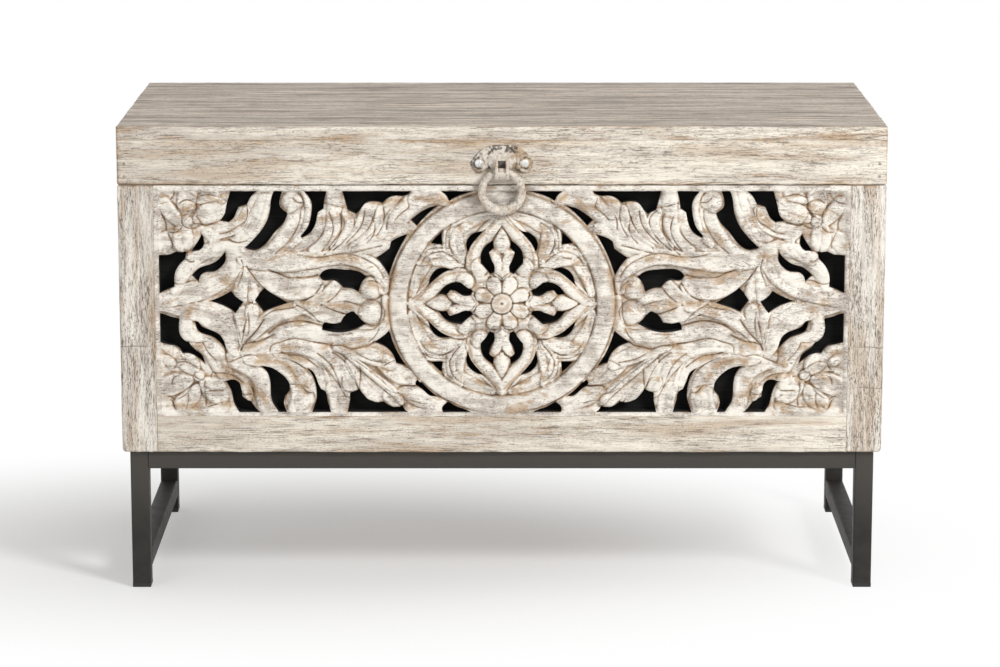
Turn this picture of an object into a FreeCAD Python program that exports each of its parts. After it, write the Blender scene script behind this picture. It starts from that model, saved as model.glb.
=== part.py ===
import FreeCAD, Part
import os
import re

# A pierced and carved wooden trunk with a hinged lid, screwed to a stand of square steel tube.
# Millimetres. The origin is on the floor under the middle of the trunk, +Z is up, the carving faces -Y.

Vector = FreeCAD.Vector

# Driving sizes: alias, value, what it measures
SIZES = [
    ("trunk_width", 900, "width of box and lid"),
    ("trunk_depth", 400, "depth of box and lid"),
    ("box_height", 320, "height of the box without lid and stand"),
    ("lid_height", 69, "height of the lid"),
    ("lid_seam", 0.8, "gap between box and closed lid"),
    ("lid_opening", 100, "angle in degrees at which the hinges stop the lid"),
    ("front_thickness", 22, "thickness of the front frame and of the lid's front rail"),
    ("side_thickness", 18, "thickness of side boards and side rails"),
    ("back_thickness", 18, "thickness of back boards and of the lid's back rail"),
    ("stile_width", 42, "width of the front stiles"),
    ("bottom_rail_height", 44, "height of the front bottom rail"),
    ("tenon_length", 30, "length of the bottom rail's tenons"),
    ("tenon_shoulder", 6, "wood above and below a tenon"),
    ("tongue_depth", 8, "depth of the carved panel's tongues"),
    ("tongue_thickness", 6, "thickness of the panel's tongues and of the tenons"),
    ("tongue_setback", 8, "front face to tongue and tenon"),
    ("relief_depth", 3, "front face to the carving's mean ground"),
    ("panel_border", 4, "plain border beside and below the piercings"),
    ("panel_top_strip", 7, "plain strip above the piercings"),
    ("medallion_band", 21, "width of the ring round the medallion"),
    ("rosette_radius", 30, "radius of the rosette in the medallion"),
    ("backing_thickness", 3, "thickness of the black backing panel"),
    ("batten_height", 30, "height of the batten behind the carving's top edge"),
    ("batten_depth", 18, "depth of the batten behind the carving's top edge"),
    ("lower_board_height", 160, "height of the lower side and back boards"),
    ("board_tongue", 6, "depth and thickness of the tongues between boards"),
    ("post_size", 25, "side of the square corner posts"),
    ("cleat_height", 20, "height of the floor cleats"),
    ("cleat_depth", 30, "depth of the floor cleats"),
    ("floor_thickness", 12, "thickness of the box floor"),
    ("lid_top_thickness", 16, "thickness of the lid's top boards"),
    ("lid_edge_board_depth", 133, "depth of the lid's front and back boards"),
    ("lid_batten_spacing", 450, "distance between the lid's two battens"),
    ("lid_batten_width", 40, "width of a lid batten"),
    ("lid_batten_height", 18, "height of a lid batten"),
    ("stand_height", 168, "floor to the underside of the box"),
    ("stand_inset", 8, "box outline to stand outline"),
    ("tube_size", 22, "outside of the square tube"),
    ("tube_wall", 1.5, "wall of the square tube"),
    ("stretcher_clearance", 21, "floor to the low side stretchers"),
    ("foot_lip", 5, "height of a foot cap below the tube"),
    ("foot_round", 1.5, "rounding under a foot cap"),
    ("foot_plug", 14, "height of a foot cap's plug inside the tube"),
    ("foot_clearance", 0.2, "plug to tube wall"),
    ("tab_size", 34, "side of a square fixing tab"),
    ("tab_thickness", 3, "thickness of a fixing tab"),
    ("stand_screw_bite", 14, "depth of a stand screw in its cleat"),
    ("screw_radius", 2, "radius of a screw's shank"),
    ("screw_head_radius", 4, "radius of a screw's head"),
    ("screw_head_height", 2, "height of a screw's head"),
    ("hole_clearance", 0.1, "shank to its hole"),
    ("batten_screw_bite", 10, "depth of a batten screw in a top board"),
    ("nail_radius", 1.2, "radius of a nail"),
    ("nail_head_radius", 2.4, "radius of a nail's head"),
    ("nail_head_height", 0.7, "height of a nail's head"),
    ("nail_bite", 25, "depth of a nail in a side rail"),
    ("nail_margin", 10, "lid rail's lower edge to the lower nail"),
    ("nail_pitch", 15, "distance between the two nails of a corner"),
    ("hinge_spacing", 560, "distance between the middles of the hinges"),
    ("hinge_length", 75, "length of a hinge"),
    ("leaf_height", 38, "hinge axis to the far edge of a leaf"),
    ("leaf_thickness", 2, "thickness of a leaf"),
    ("barrel_radius", 4.5, "outside radius of the knuckles"),
    ("hinge_gap", 0.3, "knuckles to the back face"),
    ("knuckle_gap", 0.4, "gap between neighbouring knuckles"),
    ("pin_radius", 2.5, "radius of a hinge pin"),
    ("pin_clearance", 0.05, "pin to knuckle bore"),
    ("pin_end", 1, "length of pin past the knuckles"),
    ("heel_reach", 12, "hinge axis to the tip of the stop heel"),
    ("stop_gap", 0.3, "lid leaf to stop heel when fully open"),
    ("hinge_screw_drop", 25, "hinge axis to the screws"),
    ("hinge_screw_pitch", 25, "distance between a leaf's screws"),
    ("hinge_screw_bite", 14, "depth of a hinge screw in the wood"),
    ("ring_radius", 23.5, "radius of the ring's centre line"),
    ("ring_wire", 4.5, "radius of the ring's section"),
    ("ring_play", 0.7, "room round the ring in its lug"),
    ("pull_rise", 17, "lid's lower edge to the ring's axis"),
    ("pull_stand_off", 10.5, "lid's front face to the ring's axis"),
    ("plate_thickness", 2.5, "thickness of the pull's plate"),
    ("plate_radius", 18, "radius of the plate's middle"),
    ("plate_rise", 12, "ring's axis to the middle of the plate"),
    ("lobe_radius", 10.5, "corner radius of the six-sided lobes"),
    ("lobe_spacing", 54, "distance between the lobes and their screws"),
    ("lobe_rise", 9, "ring's axis to the lobes"),
    ("lug_width", 16, "width of the lug that holds the ring"),
    ("lug_wall", 3, "wall of the lug round the ring"),
    ("lug_crown", 7, "radius of the lug's upper nose"),
    ("crown_rise", 6, "ring's axis to the middle of the upper nose"),
    ("slot_width", 9, "width of the slot in the lug's face"),
    ("slot_drop", 3, "ring's axis to the slot's lower end"),
    ("slot_rise", 10, "ring's axis to the slot's upper end"),
    ("pull_screw_bite", 15, "depth of a pull screw in the lid's front rail"),
]

# Knuckles of a hinge, counted from its left end. The middle one carries the heel that stops the lid.
KNUCKLES = 5
BOX_KNUCKLES = (0, 2, 4)
LID_KNUCKLES = (1, 3)
HEEL_KNUCKLE = 2

# Shape of a screw or nail: the dome passes its shoulder at this share of the head, the point is this many
# shank radii long
DOME_SHOULDER = 0.75
POINT_LENGTH = 2

# Places and sizes that follow from the driving sizes
DERIVED = {
    "half_width": "trunk_width / 2",
    "front": "-trunk_depth / 2",
    "back": "trunk_depth / 2",
    "box_top": "stand_height + box_height",
    "lid_bottom": "box_top + lid_seam",
    "lid_rail_height": "lid_height - lid_top_thickness",
    "lid_board_bottom": "lid_bottom + lid_rail_height",
    "lid_middle_board_depth": "trunk_depth - 2 * lid_edge_board_depth",
    "frame_back": "front + front_thickness",
    "inner_back": "back - back_thickness",
    "inner_half": "half_width - side_thickness",
    "inner_depth": "trunk_depth - front_thickness - back_thickness",
    "lining_half": "inner_half - post_size",
    "floor_bottom": "stand_height + cleat_height",
    "floor_top": "floor_bottom + floor_thickness",
    "upper_board_bottom": "stand_height + lower_board_height",
    "upper_board_height": "box_height - lower_board_height",
    "panel_half": "half_width - stile_width",
    "panel_bottom": "stand_height + bottom_rail_height",
    "panel_height": "box_height - bottom_rail_height",
    "stand_half": "half_width - stand_inset",
    "stand_front": "front + stand_inset",
    "stand_back": "back - stand_inset",
    "stand_side_length": "stand_back - stand_front - 2 * tube_size",
    "tab_bottom": "stand_height - tab_thickness",
    "hinge_y": "back + barrel_radius + hinge_gap",
    "hinge_z": "box_top + lid_seam / 2",
    "knuckle_pitch": f"hinge_length / {KNUCKLES}",
    "heel_top": "(barrel_radius + hinge_gap - leaf_thickness) / cos((lid_opening - 90) * 1 deg)"
                " - heel_reach * tan((lid_opening - 90) * 1 deg) - stop_gap",
    "pull_y": "front - pull_stand_off",
    "pull_z": "lid_bottom + pull_rise",
    "ring_sag": "ring_radius - sqrt(ring_radius^2 - lug_width^2 / 4)",
    "lug_bore": "ring_wire + ring_sag + ring_play",
    "screw_hole": "screw_radius + hole_clearance",
    "nail_hole": "nail_radius + hole_clearance",
}

ALIASES = [alias for alias, number, meaning in SIZES]

doc = FreeCAD.newDocument("carved_trunk")
sheet = doc.addObject("Spreadsheet::Sheet", "sizes")
for row, (alias, number, meaning) in enumerate(SIZES, start=1):
    sheet.set(f"A{row}", alias)
    sheet.set(f"B{row}", str(number))
    sheet.setAlias(f"B{row}", alias)
    sheet.set(f"C{row}", meaning)
doc.recompute()

finished = []


def formula(text):
    """Spell a formula of plain names out with the sheet's aliases."""
    def spell(match):
        word = match.group()
        if word in DERIVED:
            return "(" + formula(DERIVED[word]) + ")"
        return "sizes." + word if word in ALIASES else word
    return re.sub(r"[a-z_]+", spell, text)


def size_of(text):
    """Work a formula out as a number, for shapes that are made in code."""
    return float(sheet.evalExpression(formula(text)))


def point_at(spot):
    return Vector(*[size_of(text) for text in spot])


def bind(thing, **formulas):
    for name, text in formulas.items():
        thing.setExpression(name, formula(text))


def place(thing, corner):
    for axis, text in zip("xyz", corner):
        thing.setExpression("Placement.Base." + axis, formula(text))


def finish(label, thing):
    """Name a sub-part and put it on the list of files to write."""
    thing.Label = label
    finished.append(thing)
    return thing


def block(name, size, corner):
    box = doc.addObject("Part::Box", name)
    bind(box, Length=size[0], Width=size[1], Height=size[2])
    place(box, corner)
    return box


def rod(name, direction, radius, length, start):
    cylinder = doc.addObject("Part::Cylinder", name)
    cylinder.Placement = FreeCAD.Placement(Vector(), FreeCAD.Rotation(Vector(0, 0, 1), direction))
    bind(cylinder, Radius=radius, Height=length)
    place(cylinder, start)
    return cylinder


def cut(base, *tools):
    for tool in tools:
        result = doc.addObject("Part::Cut", base.Name + "_cut")
        result.Base = base
        result.Tool = tool
        base = result
    return base


def join(*shapes):
    result = doc.addObject("Part::MultiFuse", shapes[0].Name + "_joined")
    result.Shapes = list(shapes)
    return result


def feature(name, shape):
    thing = doc.addObject("Part::Feature", name)
    thing.Shape = shape
    return thing


def drilled(base, spots, direction, radius, depth):
    """Holes of one radius and depth that start at the given spots."""
    holes = [Part.makeCylinder(size_of(radius), size_of(depth), point_at(spot), direction) for spot in spots]
    return cut(base, feature(base.Name + "_holes", Part.makeCompound(holes)))


def fastener(head_radius, head_height, shank_radius, length):
    """A domed head whose underside is at the origin, and a pointed shank along +Z."""
    crown = Vector(0, 0, -head_height)
    rim = Vector(head_radius, 0, 0)
    shoulder = Vector(DOME_SHOULDER * head_radius, 0, -DOME_SHOULDER * head_height)
    neck = Vector(shank_radius, 0, 0)
    taper = Vector(shank_radius, 0, length - POINT_LENGTH * shank_radius)
    tip = Vector(0, 0, length)
    outline = [Part.Arc(crown, shoulder, rim).toShape()]
    for start, end in ((rim, neck), (neck, taper), (taper, tip), (tip, crown)):
        outline.append(Part.makeLine(start, end))
    return Part.Face(Part.Wire(outline)).revolve(Vector(), Vector(0, 0, 1), 360)


def fasteners(label, shape, spots, direction):
    """Copies of one screw or nail, each head seated on its spot."""
    turn = FreeCAD.Rotation(Vector(0, 0, 1), direction)
    copies = []
    for spot in spots:
        copy = shape.copy()
        copy.Placement = FreeCAD.Placement(point_at(spot), turn)
        copies.append(copy)
    return finish(label, feature(label, Part.makeCompound(copies)))


def screw(length):
    sizes = ("screw_head_radius", "screw_head_height", "screw_radius", length)
    return fastener(*[size_of(text) for text in sizes])


ALONG_X = Vector(1, 0, 0)
ALONG_Y = Vector(0, 1, 0)
AGAINST_Y = Vector(0, -1, 0)
ALONG_Z = Vector(0, 0, 1)


# Stand
def tube(label, axis, length, corner):
    """A square tube along axis 0, 1 or 2, open at both ends."""
    outside = ["tube_size"] * 3
    inside = ["tube_size - 2 * tube_wall"] * 3
    inside_corner = [text + " + tube_wall" for text in corner]
    outside[axis] = length
    inside[axis] = length
    inside_corner[axis] = corner[axis]
    return finish(label, cut(block(label + "_outside", outside, corner),
                             block(label + "_inside", inside, inside_corner)))


def foot_cap(label, corner_x, corner_y):
    lip = block(label + "_lip", ("tube_size", "tube_size", "foot_lip"), (corner_x, corner_y, "0"))
    inset = "tube_wall + foot_clearance"
    plug_size = f"tube_size - 2 * ({inset})"
    plug = block(label + "_plug", (plug_size, plug_size, "foot_plug"),
                 (f"{corner_x} + {inset}", f"{corner_y} + {inset}", "foot_lip"))
    body = join(lip, plug)
    doc.recompute()
    rounded = doc.addObject("Part::Fillet", label + "_rounded")
    rounded.Base = body
    radius = size_of("foot_round")
    rounded.Edges = [(number, radius, radius) for number, edge in enumerate(body.Shape.Edges, start=1)
                     if edge.BoundBox.ZMax < radius]
    return finish(label, rounded)


leg_x = {"left": "-stand_half", "right": "stand_half - tube_size"}
leg_y = {"front": "stand_front", "back": "stand_back - tube_size"}
for end, y in leg_y.items():
    for side, x in leg_x.items():
        tube(f"{end}_{side}_leg", 2, "stand_height - foot_lip", (x, y, "foot_lip"))
        foot_cap(f"{end}_{side}_foot", x, y)
    tube(f"stand_{end}_rail", 0, "2 * stand_half - 2 * tube_size",
         ("-stand_half + tube_size", y, "stand_height - tube_size"))
for side, x in leg_x.items():
    for label, z in ((f"stand_{side}_rail", "stand_height - tube_size"), (f"{side}_stretcher", "stretcher_clearance")):
        tube(label, 1, "stand_side_length", (x, "stand_front + tube_size", z))

# Fixing tabs in the stand's corners, with the screws in the middle of where tab and cleat overlap
tab_x = {"left": "-stand_half + tube_size", "right": "stand_half - tube_size - tab_size"}
tab_y = {"front": "stand_front + tube_size", "back": "stand_back - tube_size - tab_size"}
tab_screw_y = {
    "front": "(stand_front + tube_size + frame_back + cleat_depth) / 2",
    "back": "(stand_back - tube_size + inner_back - cleat_depth) / 2",
}
tab_spots = {end: [(f"{x} + tab_size / 2", y, "tab_bottom") for x in tab_x.values()]
             for end, y in tab_screw_y.items()}
tabs = []
for end, y in tab_y.items():
    for side, x in tab_x.items():
        tab_corner = (x, y, "tab_bottom")
        tabs.append(block(f"{end}_{side}_tab", ("tab_size", "tab_size", "tab_thickness"), tab_corner))
tab_plates = doc.addObject("Part::Compound", "tab_plates")
tab_plates.Links = tabs
all_tab_spots = tab_spots["front"] + tab_spots["back"]
finish("corner_tabs", drilled(tab_plates, all_tab_spots, ALONG_Z, "screw_hole", "tab_thickness"))
fasteners("stand_screws", screw("tab_thickness + stand_screw_bite"), all_tab_spots, ALONG_Z)

# Floor, cleats and corner posts
for end, y in (("front", "frame_back"), ("back", "inner_back - cleat_depth")):
    cleat = block(f"{end}_cleat_blank", ("2 * inner_half", "cleat_depth", "cleat_height"),
                  ("-inner_half", y, "stand_height"))
    pilots = [(x, spot_y, "stand_height") for x, spot_y, z in tab_spots[end]]
    finish(f"{end}_cleat", drilled(cleat, pilots, ALONG_Z, "screw_hole", "stand_screw_bite + hole_clearance"))
for side, x in (("left", "-inner_half"), ("right", "inner_half - cleat_depth")):
    cleat_size = ("cleat_depth", "inner_depth - 2 * cleat_depth", "cleat_height")
    cleat_corner = (x, "frame_back + cleat_depth", "stand_height")
    finish(f"{side}_cleat", block(f"{side}_cleat", cleat_size, cleat_corner))
finish("floor_panel", block("floor_panel", ("2 * inner_half", "inner_depth", "floor_thickness"),
                            ("-inner_half", "frame_back", "floor_bottom")))
for end, y in (("front", "frame_back"), ("back", "inner_back - post_size")):
    for side, x in (("left", "-inner_half"), ("right", "inner_half - post_size")):
        label = f"{end}_{side}_post"
        finish(label, block(label, ("post_size", "post_size", "box_top - floor_top"), (x, y, "floor_top")))


# Box sides and back, each of two boards with a tongue in a groove
hinge_x = {"left": "-hinge_spacing / 2", "right": "hinge_spacing / 2"}
leaf_screw_offsets = ("- hinge_screw_pitch", "", "+ hinge_screw_pitch")


def leaf_spots(face_y, height):
    return [(f"{x} {offset}", face_y, height) for x in hinge_x.values() for offset in leaf_screw_offsets]


def tongued_pair(name, size_x, size_y, x, y, across):
    """A lower board with a tongue on its top edge, and the blank of an upper board grooved for it."""
    lower = block(f"{name}_lower_blank", (size_x, size_y, "lower_board_height"), (x, y, "stand_height"))
    upper = block(f"{name}_upper_blank", (size_x, size_y, "upper_board_height"), (x, y, "upper_board_bottom"))
    size = [size_x, size_y, "board_tongue"]
    corner = [x, y, "upper_board_bottom"]
    size[across] = "board_tongue"
    corner[across] += f" + ({(size_x, size_y)[across]} - board_tongue) / 2"
    finish(f"{name}_lower_board", join(lower, block(f"{name}_tongue", size, corner)))
    return cut(upper, block(f"{name}_groove", size, corner))


for side, x in (("left", "-half_width"), ("right", "inner_half")):
    upper_board = tongued_pair(f"{side}_side", "side_thickness", "trunk_depth - front_thickness", x, "frame_back", 0)
    finish(f"{side}_side_upper_board", upper_board)
back_upper = tongued_pair("back", "2 * inner_half", "back_thickness", "-inner_half", "inner_back", 1)
finish("back_upper_board", drilled(back_upper, leaf_spots("back", "hinge_z - hinge_screw_drop"), AGAINST_Y,
                                   "screw_hole", "hinge_screw_bite + hole_clearance"))

# Front frame, grooved for the carved panel
tongue_y = "front + tongue_setback"
tenon_height = "bottom_rail_height - 2 * tenon_shoulder"
for side, x, groove_x, mortise_x in (
        ("left", "-half_width", "-panel_half - tongue_depth", "-panel_half - tenon_length"),
        ("right", "panel_half", "panel_half", "panel_half")):
    stile = block(f"front_{side}_stile_blank", ("stile_width", "front_thickness", "box_height"),
                  (x, "front", "stand_height"))
    groove_size = ("tongue_depth", "tongue_thickness", "panel_height + tongue_depth")
    groove = block(f"front_{side}_groove", groove_size, (groove_x, tongue_y, "panel_bottom - tongue_depth"))
    mortise = block(f"front_{side}_mortise", ("tenon_length", "tongue_thickness", tenon_height),
                    (mortise_x, tongue_y, "stand_height + tenon_shoulder"))
    finish(f"front_{side}_stile", cut(stile, groove, mortise))
rail = block("front_bottom_rail_blank", ("2 * panel_half", "front_thickness", "bottom_rail_height"),
             ("-panel_half", "front", "stand_height"))
tenons = block("front_bottom_rail_tenons",
               ("2 * panel_half + 2 * tenon_length", "tongue_thickness", tenon_height),
               ("-panel_half - tenon_length", tongue_y, "stand_height + tenon_shoulder"))
rail_groove = block("front_bottom_rail_groove",
                    ("2 * panel_half + 2 * tongue_depth", "tongue_thickness", "tongue_depth"),
                    ("-panel_half - tongue_depth", tongue_y, "panel_bottom - tongue_depth"))
finish("front_bottom_rail", cut(join(rail, tenons), rail_groove))

# Piercings of the carved panel, drawn for a clear field of DRAWN_HALF by DRAWN_TOP and DRAWN_BOTTOM.
# Each outline starts at its first point. Every following run is one smooth stretch between corners,
# and the last run closes the outline. Distances are from the medallion's middle, outwards and upwards.
DRAWN_HALF = 404
DRAWN_TOP = 134
DRAWN_BOTTOM = -131
DRAWN_RING = 133
LEAF_HOLES = {
    "upper_flower_side": [[(318, 134)], [(286, 134)], [(293, 128), (299, 117)], [(309, 114)],
                          [(312, 107), (315, 101), (321, 96)], [(331, 98)],
                          [(325, 107), (323, 116), (320, 127)]],
    "upper_flower_drop": [[(352, 82)], [(350, 75), (352, 66), (356, 63)], [(365, 62)], [(358, 72)]],
    "upper_stile_gap": [[(403, 58)], [(390, 58), (383, 61), (371, 61)], [(372, 53)],
                        [(379, 46), (384, 37), (385, 20)], [(396, 15), (403, 12)], []],
    "upper_curl": [[(325, 62)], [(332, 53), (343, 46), (355, 42), (365, 33)], [(357, 25)],
                   [(355, 32), (350, 36), (340, 37), (331, 42), (325, 51)]],
    "upper_long_slit": [[(267, 134)], [(257, 134)], [(260, 125), (260, 115), (251, 107)],
                        [(256, 96), (267, 84), (277, 71), (291, 63), (302, 66)],
                        [(289, 79), (277, 95), (272, 111), (270, 126)]],
    "upper_hook": [[(232, 134)], [(205, 134)], [(208, 123), (209, 113)], [(216, 108)],
                   [(219, 94), (226, 83), (235, 78)], [(236, 81)], [(228, 91), (224, 104), (224, 122)]],
    "upper_edge_gap": [[(187, 134)], [(106, 134)], [(111, 129), (117, 127)],
                       [(125, 128), (132, 126), (140, 119)], [(149, 121), (160, 119), (167, 110), (171, 106)],
                       [(181, 111)], [(185, 126)]],
    "upper_ring_top": [[(72, 134)], [(30, 134)], [(44, 130), (62, 122)], [(65, 128)]],
    "upper_ring_slit": [[(75, 116)], [(87, 113), (97, 107), (107, 99)], [(100, 92)], [(89, 104)]],
    "upper_ring_side": [[(111, 82)], [(121, 79), (130, 74)], [(132, 65)], [(140, 59), (148, 54)],
                        [(141, 46), (133, 33)], [(125, 55)]],
    "upper_scroll": [[(215, 32)], [(211, 37), (186, 40), (168, 37), (159, 31)], [(165, 24), (169, 13)],
                     [(177, 17), (187, 18)], [(192, 24), (196, 27), (211, 27)]],
    "outer_diamond": [[(344, 2)], [(330, 8), (319, 14)], [(312, 7), (304, 2)], [(309, -5), (314, -12)],
                      [(327, -4)]],
    "inner_diamond": [[(291, 3)], [(285, 12), (279, 18)], [(267, 9), (252, 0)], [(267, -5), (281, -11)],
                      [(286, -4)]],
    "lower_stile_gap": [[(403, -11)], [(392, -16), (380, -19)], [(381, -30), (377, -42), (369, -47)],
                        [(365, -54), (355, -62), (351, -73)], [(359, -66), (369, -60), (377, -60)],
                        [(385, -52), (394, -50), (403, -47)], []],
    "lower_curl": [[(362, -21)], [(358, -22)], [(353, -29), (344, -32), (332, -39), (325, -57)],
                   [(332, -49), (344, -40), (358, -34)]],
    "lower_flower_side": [[(327, -94)], [(318, -92), (311, -96), (308, -107)],
                          [(307, -113), (301, -117), (298, -118)], [(292, -126), (285, -131)], [(311, -131)],
                          [(317, -122), (320, -109)]],
    "lower_long_slit": [[(285, -75)], [(273, -77), (260, -85), (251, -100), (252, -107)], [(257, -113)],
                        [(258, -122), (254, -131)], [(264, -131)], [(272, -119), (274, -98), (277, -85)]],
    "lower_hook": [[(232, -77)], [(223, -83), (218, -94), (214, -103)], [(208, -107)],
                   [(206, -120), (202, -131)], [(225, -131)], [(220, -117), (220, -102), (225, -86)]],
    "lower_edge_gap": [[(183, -131)], [(180, -116), (180, -108)], [(169, -104)],
                       [(160, -114), (149, -119), (140, -119)], [(133, -124), (125, -125), (118, -124)],
                       [(114, -129), (102, -131)], []],
    "lower_ring_side": [[(133, -33)], [(141, -40), (151, -47)], [(138, -53), (129, -62), (125, -72)],
                        [(113, -76)], [(125, -56)]],
    "lower_scroll": [[(212, -32)], [(211, -25), (209, -23)], [(199, -24), (190, -23)],
                     [(184, -14), (175, -10), (168, -18), (160, -25)], [(174, -32), (192, -35)]],
    "lower_ring_slit": [[(100, -92)], [(94, -97)], [(87, -104), (77, -112)],
                        [(84, -112), (92, -106), (102, -99)], [(102, -95)]],
    "lower_ring_bottom": [[(64, -119)], [(53, -125), (44, -128), (35, -131)], [(70, -131)], [(71, -127)]],
}
MEDALLION_HOLES = {
    "diagonal_gap": [[(84, 71)], [(78, 78), (71, 84)], [(70, 70)], []],
    "crescent": [[(21, 87)], [(31, 84), (39, 78), (42, 70), (40, 60)], [(36, 69), (30, 77)]],
    "bud_side": [[(10, 75)], [(9, 66), (14, 56), (12, 46), (9, 37)], [(14, 34)], [(19, 41), (25, 48)],
                 [(24, 60), (18, 69)]],
}

ground_y = size_of("front + relief_depth")
clear_half = size_of("panel_half - panel_border")
clear_height = size_of("panel_height - panel_top_strip - panel_border")
medallion_scale = clear_height / (DRAWN_TOP - DRAWN_BOTTOM)
medallion_z = size_of("panel_bottom + panel_border") - DRAWN_BOTTOM * medallion_scale
ring_outer = DRAWN_RING * medallion_scale
leaf_stretch = (clear_half - ring_outer) / (DRAWN_HALF - DRAWN_RING)


def panel_point(side, out, up):
    """The medallion keeps its shape, and the leaves beside it are stretched to the stiles."""
    beside = max(out - DRAWN_RING, 0)
    reach = (out - beside) * medallion_scale + beside * leaf_stretch
    return Vector(side * reach, ground_y, medallion_z + up * medallion_scale)


def outline_wire(runs, to_panel):
    points = [[to_panel(*point) for point in run] for run in runs]
    start = points[0][0]
    points[-1].append(start)
    edges = []
    for run in points[1:]:
        if len(run) == 1:
            edges.append(Part.makeLine(start, run[0]))
        else:
            curve = Part.BSplineCurve()
            curve.interpolate([start] + run)
            edges.append(curve.toShape())
        start = run[-1]
    return Part.Wire(edges)


def piercings():
    """Leaf piercings on both sides, and medallion piercings in all four quarters and across the diagonals."""
    wires = []
    for side in (-1, 1):
        for runs in LEAF_HOLES.values():
            wires.append(outline_wire(runs, lambda out, up: panel_point(side, out, up)))
        for half in (-1, 1):
            for name, runs in MEDALLION_HOLES.items():
                wires.append(outline_wire(runs, lambda out, up: panel_point(side, out, half * up)))
                if name != "diagonal_gap":
                    wires.append(outline_wire(runs, lambda out, up: panel_point(side, up, half * out)))
    return wires


def carved_board():
    """The pierced board with the medallion's ring and rosette raised to the frame's front face."""
    half = size_of("panel_half")
    bottom = size_of("panel_bottom")
    top = size_of("box_top")
    corners = [Vector(-half, ground_y, bottom), Vector(half, ground_y, bottom), Vector(half, ground_y, top),
               Vector(-half, ground_y, top)]
    border = Part.makePolygon(corners + corners[:1])
    face = Part.makeFace([border] + piercings(), "Part::FaceMakerBullseye")
    board = face.extrude(Vector(0, size_of("front_thickness - relief_depth"), 0))
    depth = size_of("relief_depth")
    middle = Vector(0, ground_y - depth, medallion_z)
    band = Part.makeCylinder(ring_outer, depth, middle, ALONG_Y)
    band = band.cut(Part.makeCylinder(ring_outer - size_of("medallion_band"), depth, middle, ALONG_Y))
    rosette = Part.makeCylinder(size_of("rosette_radius"), depth, middle, ALONG_Y)
    return board.fuse([band, rosette]).removeSplitter()


board = feature("carved_board", carved_board())
tongue_size = ("tongue_depth", "tongue_thickness", "panel_height")
side_tongues = [block(f"carved_{side}_tongue", tongue_size, (x, tongue_y, "panel_bottom"))
                for side, x in (("left", "-panel_half - tongue_depth"), ("right", "panel_half"))]
bottom_tongue = block("carved_bottom_tongue",
                      ("2 * panel_half + 2 * tongue_depth", "tongue_thickness", "tongue_depth"),
                      ("-panel_half - tongue_depth", tongue_y, "panel_bottom - tongue_depth"))
finish("carved_panel", join(board, *side_tongues, bottom_tongue))

# Black backing and the batten that stiffens the carving's top edge, both between the front posts
finish("backing_panel", block("backing_panel", ("2 * lining_half", "backing_thickness", "box_top - floor_top"),
                              ("-lining_half", "frame_back", "floor_top")))
finish("front_top_batten", block("front_top_batten", ("2 * lining_half", "batten_depth", "batten_height"),
                                 ("-lining_half", "frame_back + backing_thickness", "box_top - batten_height")))

# Lid rails, nailed through the front and back rails into the side rails
nail_x = {"left": "-half_width + side_thickness / 2", "right": "half_width - side_thickness / 2"}
nail_z = ("lid_bottom + nail_margin", "lid_bottom + nail_margin + nail_pitch")
pull_spots = [(x, "front", "pull_z + lobe_rise") for x in ("-lobe_spacing / 2", "lobe_spacing / 2")]
front_nails = [(x, "front", z) for x in nail_x.values() for z in nail_z]
back_nails = [(x, "back", z) for x in nail_x.values() for z in nail_z]
front_rail = block("lid_front_rail_blank", ("trunk_width", "front_thickness", "lid_rail_height"),
                   ("-half_width", "front", "lid_bottom"))
front_rail = drilled(front_rail, front_nails, ALONG_Y, "nail_hole", "front_thickness")
front_rail = drilled(front_rail, pull_spots, ALONG_Y, "screw_hole", "pull_screw_bite + hole_clearance")
finish("lid_front_rail", front_rail)
back_rail = block("lid_back_rail_blank", ("trunk_width", "back_thickness", "lid_rail_height"),
                  ("-half_width", "inner_back", "lid_bottom"))
back_rail = drilled(back_rail, back_nails, AGAINST_Y, "nail_hole", "back_thickness")
finish("lid_back_rail", drilled(back_rail, leaf_spots("back", "hinge_z + hinge_screw_drop"), AGAINST_Y,
                                "screw_hole", "hinge_screw_bite + hole_clearance"))
for side, x in (("left", "-half_width"), ("right", "inner_half")):
    rail = block(f"lid_{side}_rail_blank", ("side_thickness", "inner_depth", "lid_rail_height"),
                 (x, "frame_back", "lid_bottom"))
    rail = drilled(rail, [(nail_x[side], "frame_back", z) for z in nail_z], ALONG_Y,
                   "nail_hole", "nail_bite + hole_clearance")
    finish(f"lid_{side}_rail", drilled(rail, [(nail_x[side], "inner_back", z) for z in nail_z], AGAINST_Y,
                                       "nail_hole", "nail_bite + hole_clearance"))
nail_sizes = [size_of(text) for text in ("nail_head_radius", "nail_head_height", "nail_radius")]
for label, thickness, spots, direction in (("lid_front_nails", "front_thickness", front_nails, ALONG_Y),
                                           ("lid_back_nails", "back_thickness", back_nails, AGAINST_Y)):
    fasteners(label, fastener(*nail_sizes, size_of(f"{thickness} + nail_bite")), spots, direction)

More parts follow.
